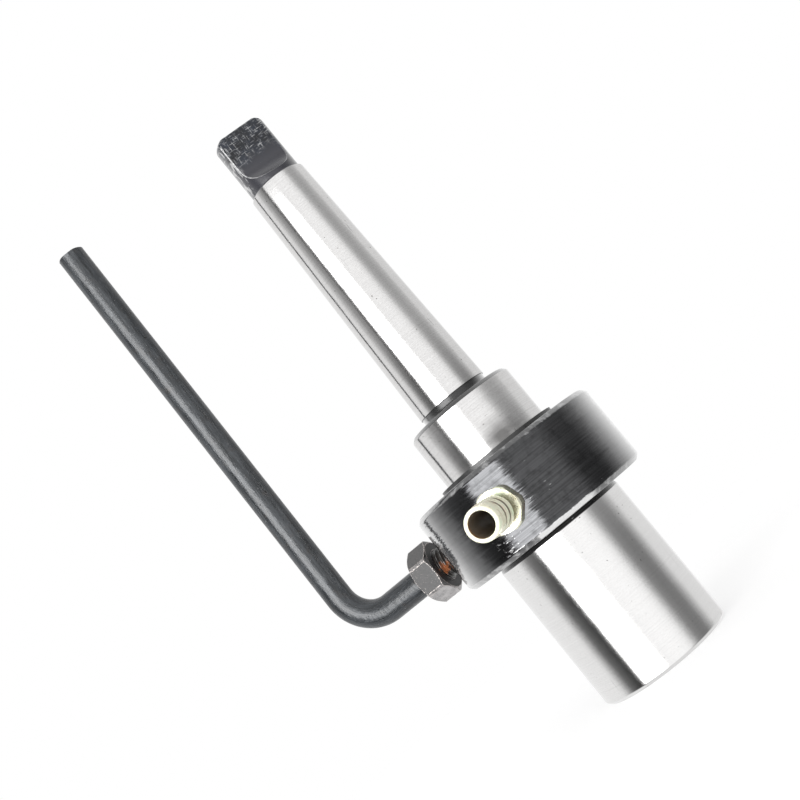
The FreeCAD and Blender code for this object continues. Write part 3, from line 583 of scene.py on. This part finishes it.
GROUND = ground_steel()
BLACK = black_oxide("black_oxide")
TANG_BLACK = tang_black("tang_black", False)
TANG_EDGE = tang_black("tang_edge", True)
RING_BLACK = worn_black()
ZINC = zinc_yellow("zinc_yellow", 0.92, False)
ZINC_RIDGES = zinc_yellow("zinc_ridges", 0.15, True)
BARB_ROOT = barb_root()
BORE_DARK = bore_dark()
NUT = nut_steel("nut_steel", "side")
NUT_EDGE = nut_steel("nut_edge", "edge")
NUT_SHADED = nut_steel("nut_shaded", "front")
ROD = gunmetal_rod()
THREAD = rusty_thread()
SPRING = dark_steel()
RUBBER = seal_rubber()


# Mesh making. Outlines are in millimetres, as (radius, height, rounding)
ON_AXIS = 1e-6


def rounded(outline, closed=True, steps=3):
    """Each corner that gives a rounding becomes a short curve."""
    result = []
    count = len(outline)
    for index, corner in enumerate(outline):
        here = Vector(corner[:2])
        rounding = corner[2] if len(corner) > 2 else 0.0
        if not rounding or (not closed and index in (0, count - 1)):
            result.append(here)
            continue
        before = Vector(outline[index - 1][:2]) - here
        after = Vector(outline[(index + 1) % count][:2]) - here
        reach = min(rounding, before.length * 0.45, after.length * 0.45)
        start = here + before.normalized() * reach
        end = here + after.normalized() * reach
        for step in range(steps + 1):
            t = step / steps
            result.append(start * (1 - t) ** 2 + here * 2 * t * (1 - t) + end * t ** 2)
    return result


def turned_mesh(outline, segments, closed=True, smooth_steps=3):
    """A lathe form about Z. An outline that isn't closed starts and ends on the axis."""
    points = rounded(outline, closed, smooth_steps)
    mesh = bmesh.new()
    rings = []
    for point in points:
        if point.x < ON_AXIS:
            rings.append([mesh.verts.new((0.0, 0.0, point.y * MM))])
            continue
        rings.append([mesh.verts.new((point.x * MM * math.cos(2 * math.pi * k / segments),
                                      point.x * MM * math.sin(2 * math.pi * k / segments),
                                      point.y * MM)) for k in range(segments)])
    pairs = list(zip(rings, rings[1:]))
    if closed:
        pairs.append((rings[-1], rings[0]))
    for first, second in pairs:
        for k in range(segments):
            after = (k + 1) % segments
            corners = []
            for ring, spot in ((first, k), (first, after), (second, after), (second, k)):
                vert = ring[spot if len(ring) > 1 else 0]
                if vert not in corners:
                    corners.append(vert)
            if len(corners) > 2:
                mesh.faces.new(corners)
    bmesh.ops.recalc_face_normals(mesh, faces=mesh.faces)
    return mesh


def shade(mesh, angle):
    """Smooth faces, with edges sharp where they turn by more than an angle in degrees."""
    limit = math.radians(angle)
    for face in mesh.faces:
        face.smooth = True
    for edge in mesh.edges:
        if len(edge.link_faces) == 2:
            edge.smooth = edge.calc_face_angle(0.0) < limit


def piece(name, mesh, materials, place=None, angle=30.0, pick=None):
    """A new object from a bmesh. pick gives each face its material's number."""
    shade(mesh, angle)
    if pick:
        for face in mesh.faces:
            face.material_index = pick(face)
    data = bpy.data.meshes.new(name)
    mesh.to_mesh(data)
    mesh.free()
    for material in materials:
        data.materials.append(material)
    obj = bpy.data.objects.new(name, data)
    scene.collection.objects.link(obj)
    if place:
        obj.matrix_world = place
    return obj


def skin(mesh, rings):
    """Faces between each ring of vertices and the next."""
    for first, second in zip(rings, rings[1:]):
        for k in range(len(first)):
            mesh.faces.new((first[k - 1], first[k], second[k], second[k - 1]))


def closed_tube(mesh, rings):
    """A skin over the rings, with both ends closed and all faces turned outwards."""
    mesh.faces.new(rings[0])
    mesh.faces.new(rings[-1])
    skin(mesh, rings)
    bmesh.ops.recalc_face_normals(mesh, faces=mesh.faces)
    return mesh


def prism_mesh(flats, low, high, turn):
    """A hexagonal prism about Z, turned by an angle in degrees."""
    mesh = bmesh.new()
    sides = 6
    corner = flats / 2 / math.cos(math.pi / sides) * MM
    angles = [math.radians(turn) + math.pi / sides * (2 * k + 1) for k in range(sides)]
    layers = [[mesh.verts.new((corner * math.cos(a), corner * math.sin(a), height * MM))
               for a in angles] for height in (low, high)]
    return closed_tube(mesh, layers)


def cut(obj, others, operation="DIFFERENCE"):
    """Boolean with throwaway tools, applied to the mesh."""
    for tool in others:
        modifier = obj.modifiers.new("cut", "BOOLEAN")
        modifier.operation = operation
        modifier.solver = "EXACT"
        modifier.object = tool
    bpy.context.view_layer.update()
    depsgraph = bpy.context.evaluated_depsgraph_get()
    data = bpy.data.meshes.new_from_object(obj.evaluated_get(depsgraph))
    obj.modifiers.clear()
    old = obj.data
    obj.data = data
    bpy.data.meshes.remove(old)
    for tool in others:
        bpy.data.objects.remove(tool)


def reshade(obj, angle, pick=None):
    """Shading, and each face's material, for a mesh that was cut."""
    mesh = bmesh.new()
    mesh.from_mesh(obj.data)
    shade(mesh, angle)
    if pick:
        for face in mesh.faces:
            face.material_index = pick(face)
    mesh.to_mesh(obj.data)
    mesh.free()


def port_place(turn, height):
    """Local Z points out of the ring, turned from -Y, at a height in millimetres."""
    return (Matrix.Translation((0, 0, height * MM)) @ Matrix.Rotation(math.radians(turn), 4, "Z")
            @ Matrix.Rotation(math.radians(90), 4, "X"))


ALONG_BARB = port_place(BARB_TURN, BARB_HEIGHT)
ALONG_ARM = port_place(ARM_TURN, ARM_HEIGHT)


# Arbor body, with its materials in the order of these numbers
ARBOR_MATERIALS = (GROUND, BLACK, TANG_BLACK, TANG_EDGE)
GROUND_FACE, BLACK_FACE, TANG_FACE, WORN_EDGE = range(4)
CLIP_GROOVE_TOP = 59.35
MILL_RADIUS = 6.0
MILL_CENTRE = 147.0
MILL_TILT = -4.8
MILL_REACH = 12.0
SCREW_TURNS = (63.0, 153.0)


def arbor_finish(face):
    """Ground steel on the nose, its end face and socket, the collar and the cone. The neck and
    the tang have their own black, and the rest is plain black."""
    centre = face.calc_center_median() / MM
    radius = math.hypot(centre.x, centre.y)
    upright = abs(face.normal.z) < 0.3
    if centre.z > CONE_TOP - 0.05:
        return TANG_FACE
    on_nose = radius > NOSE_RADIUS - 0.3 and centre.z < NOSE_TOP - 1.05
    in_socket = radius < SOCKET_RADIUS + 0.27 and centre.z < SOCKET_DEPTH - 0.1
    on_end = radius > SOCKET_RADIUS + 0.67 and centre.z < 0.9
    on_collar = (upright and CLIP_GROOVE_TOP + 0.05 < centre.z < COLLAR_TOP - 0.85
                 and radius > JOURNAL_RADIUS - 0.75)
    on_cone = upright and CONE_FOOT + 0.05 < centre.z and radius > 7.3
    if on_nose or in_socket or on_end or on_collar or on_cone:
        return GROUND_FACE
    return BLACK_FACE


def soften_tang(arbor):
    """A narrow rubbed bevel along the sharp edges of the tang."""
    mesh = bmesh.new()
    mesh.from_mesh(arbor.data)
    bmesh.ops.remove_doubles(mesh, verts=mesh.verts, dist=2e-6)
    sharp = [edge for edge in mesh.edges if len(edge.link_faces) == 2
             and min(vert.co.z for vert in edge.verts) > (CONE_TOP + 0.7) * MM
             and edge.calc_face_angle(0.0) > math.radians(24.0)]
    bmesh.ops.bevel(mesh, geom=sharp, offset=0.13 * MM, segments=2, profile=0.6,
                    affect="EDGES", clamp_overlap=True, material=WORN_EDGE)
    shade(mesh, 32.0)
    mesh.to_mesh(arbor.data)
    mesh.free()


def mill_mesh():
    """What the cutter takes off beside one flat of the tang, with its hollow run-out below."""
    steps, above = 16, 160.0
    profile = [(TANG_HALF, above), (TANG_HALF, MILL_CENTRE)]
    for step in range(1, steps + 1):
        a = math.radians(90.0 * step / steps)
        profile.append((TANG_HALF + MILL_RADIUS * (1 - math.cos(a)),
                        MILL_CENTRE - MILL_RADIUS * math.sin(a)))
    profile += [(MILL_REACH, MILL_CENTRE - MILL_RADIUS), (MILL_REACH, above)]
    mesh = bmesh.new()
    layers = [[mesh.verts.new((x * MM, across * MM, z * MM)) for x, z in profile]
              for across in (-MILL_REACH, MILL_REACH)]
    return closed_tube(mesh, layers)


def screw_hole_mesh():
    """A socket screw's hole, from inside the socket's wall to past its countersink."""
    start, thread, countersink, wide, end = 8.0, 4.0, 16.0, 4.9, 18.0
    return turned_mesh([(0, start), (thread, start), (thread, countersink),
                        (wide, countersink + wide - thread), (wide, end), (0, end)],
                       64, closed=False)


def make_arbor():
    snap_radius, snap_low, snap_high = 6.0, 37.15, 38.25
    groove_radius, relief_radius = 12.87, 8.69
    cone_foot_radius, cone_top_radius, cone_end_radius = 9.04, 7.4165, 7.05
    outline = [
        (0, PILOT_TOP + 3.2), (PILOT_RADIUS, PILOT_TOP), (PILOT_RADIUS, snap_high),
        (snap_radius, snap_high), (snap_radius, snap_low), (PILOT_RADIUS, snap_low),
        (PILOT_RADIUS, SOCKET_DEPTH, 0.2), (SOCKET_RADIUS, SOCKET_DEPTH),
        (SOCKET_RADIUS, 0.6, 0.1), (SOCKET_RADIUS + 0.6, 0, 0.1), (NOSE_RADIUS - 0.8, 0, 0.15),
        (NOSE_RADIUS, 0.8, 0.2), (NOSE_RADIUS, NOSE_TOP - 1.1, 0.12),
        (NOSE_RADIUS - 0.4, NOSE_TOP, 0.15), (JOURNAL_RADIUS, NOSE_TOP),
        (JOURNAL_RADIUS, RING_HIGH + 0.05), (groove_radius, RING_HIGH + 0.05),
        (groove_radius, CLIP_GROOVE_TOP), (JOURNAL_RADIUS, CLIP_GROOVE_TOP),
        (JOURNAL_RADIUS, COLLAR_TOP - 0.9, 0.15), (JOURNAL_RADIUS - 0.9, COLLAR_TOP, 0.15),
        (relief_radius, COLLAR_TOP, 0.9), (relief_radius, CONE_FOOT, 0.1),
        (cone_foot_radius, CONE_FOOT, 0.08), (cone_top_radius, CONE_TOP, 0.15),
        (cone_end_radius, CONE_TOP, 0.1), (NECK_RADIUS, CONE_TOP + 0.3, 0.3),
        (NECK_RADIUS, TANG_TOP - 1, 0.5), (NECK_RADIUS - 1, TANG_TOP, 0.5), (0, TANG_TOP),
    ]
    mesh = turned_mesh(outline, 224, closed=False, smooth_steps=4)
    arbor = piece("arbor", mesh, ARBOR_MATERIALS)
    middle = Matrix.Translation((0, 0, MILL_CENTRE * MM))
    tilt = middle @ Matrix.Rotation(math.radians(MILL_TILT), 4, "X") @ middle.inverted()
    tools = [piece("flat_tool", mill_mesh(), [TANG_BLACK],
                   Matrix.Rotation(TANG_TURN + side, 4, "Z") @ tilt) for side in (0.0, math.pi)]
    lift = Matrix.Translation((0, 0, SCREW_HEIGHT * MM))
    for turn in SCREW_TURNS:
        direction = (Matrix.Rotation(math.radians(turn), 4, "Z") @ lift
                     @ Matrix.Rotation(math.radians(90), 4, "Y"))
        tools.append(piece("hole_tool", screw_hole_mesh(), [BLACK], direction))
    cut(arbor, tools)
    reshade(arbor, 28.0, arbor_finish)
    soften_tang(arbor)
    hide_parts("arbor_body")
    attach(arbor, "arbor")


def make_ring():
    bore, chamfer = 13.8, 0.4
    outline = [
        (bore + chamfer, RING_LOW), (RING_RADIUS - RING_BEVEL, RING_LOW, 0.2),
        (RING_RADIUS, RING_LOW + RING_BEVEL, 0.25), (RING_RADIUS, RING_HIGH - RING_BEVEL, 0.25),
        (RING_RADIUS - RING_BEVEL, RING_HIGH, 0.2), (bore + chamfer, RING_HIGH, 0.1),
        (bore, RING_HIGH - chamfer), (bore, RING_LOW + chamfer),
    ]
    ring = piece("ring", turned_mesh(outline, 256), [RING_BLACK])
    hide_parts("coolant_ring")
    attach(ring, "ring")


def hexagon(name, flats, low, high, turn, materials, place, profile):
    """A hexagon with its corners turned down to a profile of radii and heights."""
    hexa = piece(name, prism_mesh(flats, low, high, turn), materials, place)
    outline = [(0, low)] + profile + [(0, high)]
    tool = piece("turning_tool", turned_mesh(outline, 180, closed=False), materials, place)
    cut(hexa, [tool], "INTERSECT")
    return hexa


def edge_bevel(obj, width, material=None):
    """Small bevels on the edges, in millimetres, with a material of their own if one is given."""
    modifier = obj.modifiers.new("edges", "BEVEL")
    modifier.width = width * MM
    modifier.segments = 2
    modifier.limit_method = "ANGLE"
    modifier.angle_limit = math.radians(25.0)
    modifier.harden_normals = True
    if material is not None:
        modifier.material = material


def barb_finish(face):
    """Plated outside, brown on the inner rim and dark down the bore."""
    middle = face.calc_center_median() / MM
    radius = math.hypot(middle.x, middle.y)
    plated, inner_rim, bore = range(3)
    if radius < 2.95 and middle.z < 41.15:
        return bore if middle.z < 40.0 or radius < 2.75 else inner_rim
    return plated


def make_barb():
    outline = [
        (2.3, 18.15), (3.45, 18.15), (3.45, BARB_SEAT), (3.45, 27.2), (3.2, 27.6, 0.2),
        (3.2, 30.1, 0.15), (3.95, 30.25, 0.15), (3.5, 33.3, 0.2), (3.36, 33.42),
        (3.95, 33.55, 0.15), (3.5, 36.5, 0.2), (3.36, 36.62), (3.95, 36.75, 0.15),
        (3.72, 41.05, 0.2), (3.45, 41.3, 0.12), (2.95, 41.3, 0.15), (2.8, 41.1, 0.1),
        (2.8, 40.2), (2.8, BARB_SEAT), (2.3, BARB_SEAT),
    ]
    barb = piece("barb", turned_mesh(outline, 96), [ZINC_RIDGES, BARB_ROOT, BORE_DARK], ALONG_BARB,
                 pick=barb_finish)
    flats, top, turn, corner = 9.6, 27.35, 18.25, 5.15
    hexa = hexagon("barb_hexagon", flats, BARB_SEAT, top, turn, [ZINC], ALONG_BARB,
                   [(corner, BARB_SEAT), (corner, top - 0.35), (flats / 2, top)])
    bore = piece("bore_tool", turned_mesh([(0, 20), (3.3, 20), (3.3, 30), (0, 30)], 64,
                                          closed=False), [ZINC], ALONG_BARB)
    cut(hexa, [bore])
    reshade(hexa, 25.0)
    edge_bevel(hexa, 0.2)
    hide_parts("hose_barb")
    for part in (barb, hexa):
        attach(part, "ring")


NUT_MATERIALS = (NUT, NUT_EDGE, NUT_SHADED)
SIDE_FACE, NUT_WORN_EDGE, SHADED_FACE = range(3)


def nut_finish(face):
    """Bare sides, with the darker front material as painted shade on the side at local +X, and as
    the ring's painted shadow on the end towards the ring.
    """
    return SHADED_FACE if face.normal.x > 0.9 or face.normal.z < -0.9 else SIDE_FACE


def make_nut():
    flats, corner, end_radius, slope = 12.8, 7.2, 6.208, 0.577
    fall = (corner - end_radius) * slope
    nut = hexagon("nut", flats, NUT_LOW, NUT_HIGH, 0.0, NUT_MATERIALS, ALONG_ARM,
                  [(end_radius, NUT_LOW), (corner, NUT_LOW + fall), (corner, NUT_HIGH - fall),
                   (end_radius, NUT_HIGH)])
    mouth, bevel = 4.2, 0.7
    bore = piece("bore_tool", turned_mesh(
        [(0, 27), (4.6, 27), (mouth, NUT_LOW), (ROD_RADIUS, NUT_LOW + bevel),
         (ROD_RADIUS, NUT_HIGH - bevel), (mouth, NUT_HIGH), (4.6, 34), (0, 34)],
        72, closed=False), [NUT], ALONG_ARM)
    cut(nut, [bore])
    reshade(nut, 25.0, nut_finish)
    edge_bevel(nut, 0.18, NUT_WORN_EDGE)
    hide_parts("lock_nut")
    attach(nut, "ring")


def thread_mesh(minor, major, pitch, low, high):
    """A helical thread about Z as a ring-by-ring surface, fading out at both ends."""
    segments, per_turn = 72, 12
    mesh = bmesh.new()
    rings = []
    count = int((high - low) / pitch * per_turn) + 1
    for row in range(count + 1):
        height = low + (high - low) * row / count
        ring = []
        for k in range(segments):
            phase = (height / pitch + k / segments) % 1.0
            rise = min(1.0, max(0.0, (0.5 - abs(phase - 0.5)) * 2.9 - 0.35))
            end_fade = min(1.0, (high - height) / (pitch * 0.4), (height - low) / (pitch * 0.4))
            radius = minor + (major - minor) * rise * max(0.0, end_fade)
            a = 2 * math.pi * k / segments
            ring.append(mesh.verts.new((radius * MM * math.cos(a), radius * MM * math.sin(a),
                                        height * MM)))
        rings.append(ring)
    return closed_tube(mesh, rings)


def arm_line():
    """Places along the rod's middle and the way it runs there: level, bend and leg."""
    bend_start = LEG_OUT - BEND_RADIUS
    bend_top = ARM_HEIGHT + BEND_RADIUS
    level_steps, bend_steps, leg_steps = 7, 24, 48
    line = []
    for step in range(level_steps + 1):
        out = ROD_START + (bend_start - ROD_START) * step / level_steps
        line.append((Vector((-out, 0, ARM_HEIGHT)), Vector((-1, 0, 0))))
    for step in range(1, bend_steps + 1):
        a = math.radians(90.0 * step / bend_steps)
        line.append((Vector((-bend_start - BEND_RADIUS * math.sin(a), 0,
                             bend_top - BEND_RADIUS * math.cos(a))),
                     Vector((-math.cos(a), 0, math.sin(a)))))
    for step in range(1, leg_steps + 1):
        height = bend_top + (LEG_TOP - bend_top) * step / leg_steps
        line.append((Vector((-LEG_OUT, 0, height)), Vector((0, 0, 1))))
    return line


def make_arm():
    """The rod follows the arm's line, with its length in the UV map for the streaks. Its top
    end is sawn a little unevenly."""
    line = arm_line()
    mesh = bmesh.new()
    layer = mesh.loops.layers.uv.new("UVMap")
    segments = 48
    rings = []
    run = [0.0]
    for index, (centre, ahead) in enumerate(line):
        if index:
            run.append(run[-1] + (centre - line[index - 1][0]).length)
        side = Vector((0, 1, 0))
        up = ahead.cross(side)
        ring = []
        for k in range(segments):
            a = 2 * math.pi * k / segments
            spot = centre + (side * math.cos(a) + up * math.sin(a)) * ROD_RADIUS
            if index == len(line) - 1:
                spot.z += 0.10 * math.sin(a + 0.6) + 0.06 * math.sin(5 * a)
            ring.append(mesh.verts.new(spot * MM))
        rings.append(ring)
    for index in range(len(rings) - 1):
        first, second = rings[index], rings[index + 1]
        for k in range(segments):
            after = (k + 1) % segments
            face = mesh.faces.new((first[k], first[after], second[after], second[k]))
            spots = ((k, index), (k + 1, index), (k + 1, index + 1), (k, index + 1))
            for loop, (u, v) in zip(face.loops, spots):
                loop[layer].uv = (u / segments, run[v] * MM)
    for end, rise in ((rings[0], 0.0), (rings[-1], 0.12)):
        centre = sum((v.co for v in end), Vector()) / segments
        inner = [mesh.verts.new(centre + (v.co - centre) * 0.92 + Vector((0, 0, rise * MM)))
                 for v in end]
        skin(mesh, (end, inner))
        mesh.faces.new(inner)
    bmesh.ops.recalc_face_normals(mesh, faces=mesh.faces)
    rod = piece("arm_rod", mesh, [ROD], angle=40.0)
    minor, major, pitch, low, high = 3.35, 3.98, 1.25, 18.4, 34.6
    thread = piece("arm_thread", thread_mesh(minor, major, pitch, low, high), [THREAD], ALONG_ARM,
                   angle=60.0)
    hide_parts("torque_arm")
    for part in (rod, thread):
        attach(part, "ring")


def make_spring():
    """The ejector spring, as a piece of its own with a mesh of its own."""
    low, high, mean, wire, pitch = 45.36, 87.37, 4.55, 0.6, 5.1
    steps, sides = 400, 14
    turns = (high - low) / pitch
    mesh = bmesh.new()
    rings = []
    for step in range(steps + 1):
        a = 2 * math.pi * turns * step / steps
        out = Vector((math.cos(a), math.sin(a), 0))
        ahead = Vector((-mean * math.sin(a), mean * math.cos(a), pitch / (2 * math.pi)))
        up = out.cross(ahead).normalized()
        centre = out * mean + Vector((0, 0, low + pitch * turns * step / steps))
        ring = []
        for k in range(sides):
            b = 2 * math.pi * k / sides
            spot = centre + (out * math.cos(b) + up * math.sin(b)) * wire
            ring.append(mesh.verts.new(spot * MM))
        rings.append(ring)
    spring = piece("spring", closed_tube(mesh, rings), [SPRING], angle=50.0)
    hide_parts("ejector_spring")
    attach(spring, "arbor")
    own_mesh(spring)


make_arbor()
make_ring()
make_barb()
make_nut()
make_arm()
make_spring()

# Solids that keep their own shape and only get a material
KEPT_NODES = (("journal_clip", SPRING), ("plunger_keeper", SPRING), ("ejector_plunger", GROUND),
              ("socket_screw_1", BLACK), ("socket_screw_2", BLACK),
              ("lower_seal", RUBBER), ("upper_seal", RUBBER))
for node, material in KEPT_NODES:
    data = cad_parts[node].data
    data.materials.clear()
    data.materials.append(material)


# Light and floor. The bands go once round the object, as angles in degrees from -Y towards +X
# and levels of light, and the box is the brighter softbox among them
BANDS = ((-180, .95), (-162, .95), (-82, .92), (-74, .82), (-66, .48), (-56, .22), (-42, .12),
         (-37, .13), (-30, .95), (10, 1.08), (30, 1.15), (42, 1.15), (54, 1.1), (62, .95),
         (70, .58), (78, .34), (90, .28), (102, .3), (114, .5), (126, .8), (138, .82),
         (168, .82), (180, .95))
BRIGHTEST = 1.2
BOX_LEVEL = 6.2
PLAIN_LEVEL = 0.85
RIGHT_FLAG = math.radians(90)
LEFT_FLAG = math.radians(-47)
FLOOR_RADIUS = 0.6
FLOOR_DROP = 0.00002


def studio():
    """White for the camera. Glossy rays see the bands and the softbox instead, with the dark
    flags a little lighter above and darker below, and a plain level overhead and underneath."""
    world = bpy.data.worlds.new("studio")
    scene.world = world
    tree = Tree(world)
    facing = tree.add("ShaderNodeTexCoord").outputs["Generated"]
    x, y, z = tree.split(facing)
    round_about = tree.math("ARCTAN2", x, tree.times(y, -1.0))
    share = tree.spread(round_about, -math.pi, math.pi)
    ramp = tree.add("ShaderNodeValToRGB", {"Fac": share})
    fill_ramp(ramp.color_ramp, [((angle + 180.0) / 360.0, level / BRIGHTEST)
                                for angle, level in BANDS])
    box = tree.times(tree.spread(round_about, math.radians(-34), math.radians(-27)),
                     tree.spread(round_about, math.radians(12), math.radians(8)))
    slope = tree.math("ABSOLUTE", z)
    box = tree.times(box, tree.spread(slope, 0.44, 0.38))
    bands = tree.times(ramp.outputs[0], BRIGHTEST)
    beside = tree.math("ABSOLUTE", tree.minus(round_about, RIGHT_FLAG))
    lift = tree.times(tree.spread(z, 0.02, 0.15, 0.0, 0.17),
                      tree.spread(beside, math.radians(30), math.radians(14)))
    left = tree.math("ABSOLUTE", tree.minus(round_about, LEFT_FLAG))
    outer = tree.times(tree.spread(z, 0.08, 0.16, 0.0, 0.17),
                       tree.spread(left, math.radians(24), math.radians(15)))
    outer = tree.times(outer, tree.spread(round_about, math.radians(-40), math.radians(-46)))
    lift = tree.plus(lift, outer)
    dark = tree.larger(tree.spread(beside, math.radians(30), math.radians(14)),
                       tree.spread(left, math.radians(18), math.radians(12)))
    dark = tree.times(dark, tree.spread(z, 0.0, -0.06, 0.0, 0.07))
    bands = tree.minus(tree.plus(bands, lift), dark)
    plain = tree.spread(slope, 0.70, 0.92)
    bands = tree.plus(tree.times(bands, tree.minus(1.0, plain)), tree.times(plain, PLAIN_LEVEL))
    level = tree.plus(bands, tree.times(box, BOX_LEVEL))
    lit = tree.add("ShaderNodeBackground", {"Color": grey(1.0), "Strength": level}).outputs[0]
    white = tree.add("ShaderNodeBackground", {"Color": grey(1.0), "Strength": 1.0}).outputs[0]
    seen = tree.add("ShaderNodeLightPath").outputs["Is Camera Ray"]
    both = tree.add("ShaderNodeMixShader", {0: seen, 1: lit, 2: white}).outputs[0]
    tree.add("ShaderNodeOutputWorld", {"Surface": both})


def floor():
    """A sheet that holds the shadow, fades out around the object and is clear from below."""
    mesh = bmesh.new()
    bmesh.ops.create_circle(mesh, cap_ends=True, segments=96, radius=FLOOR_RADIUS)
    tree = Tree(bpy.data.materials.new("floor_white"))
    place = tree.place()
    reach = tree.value_of("LENGTH", place)
    under = tree.add("ShaderNodeNewGeometry").outputs["Backfacing"]
    fade = tree.larger(tree.spread(reach, 0.08, 0.26), under)
    paper = tree.add("ShaderNodeBsdfDiffuse", {"Color": grey(0.92)}).outputs[0]
    clear = tree.add("ShaderNodeBsdfTransparent").outputs[0]
    glow = tree.add("ShaderNodeEmission", {"Color": grey(1.0), "Strength": 0.55}).outputs[0]
    faint = tree.add("ShaderNodeBsdfDiffuse", {"Color": grey(0.52)}).outputs[0]
    shown = tree.add("ShaderNodeAddShader", {0: glow, 1: faint}).outputs[0]
    seen = tree.add("ShaderNodeLightPath").outputs["Is Camera Ray"]
    paper = tree.add("ShaderNodeMixShader", {0: seen, 1: paper, 2: shown}).outputs[0]
    both = tree.add("ShaderNodeMixShader", {0: fade, 1: paper, 2: clear}).outputs[0]
    sheet = piece("floor", mesh, [tree.finish(both)])
    sheet.visible_glossy = False
    sheet.location.z = -FLOOR_DROP


studio()
floor()
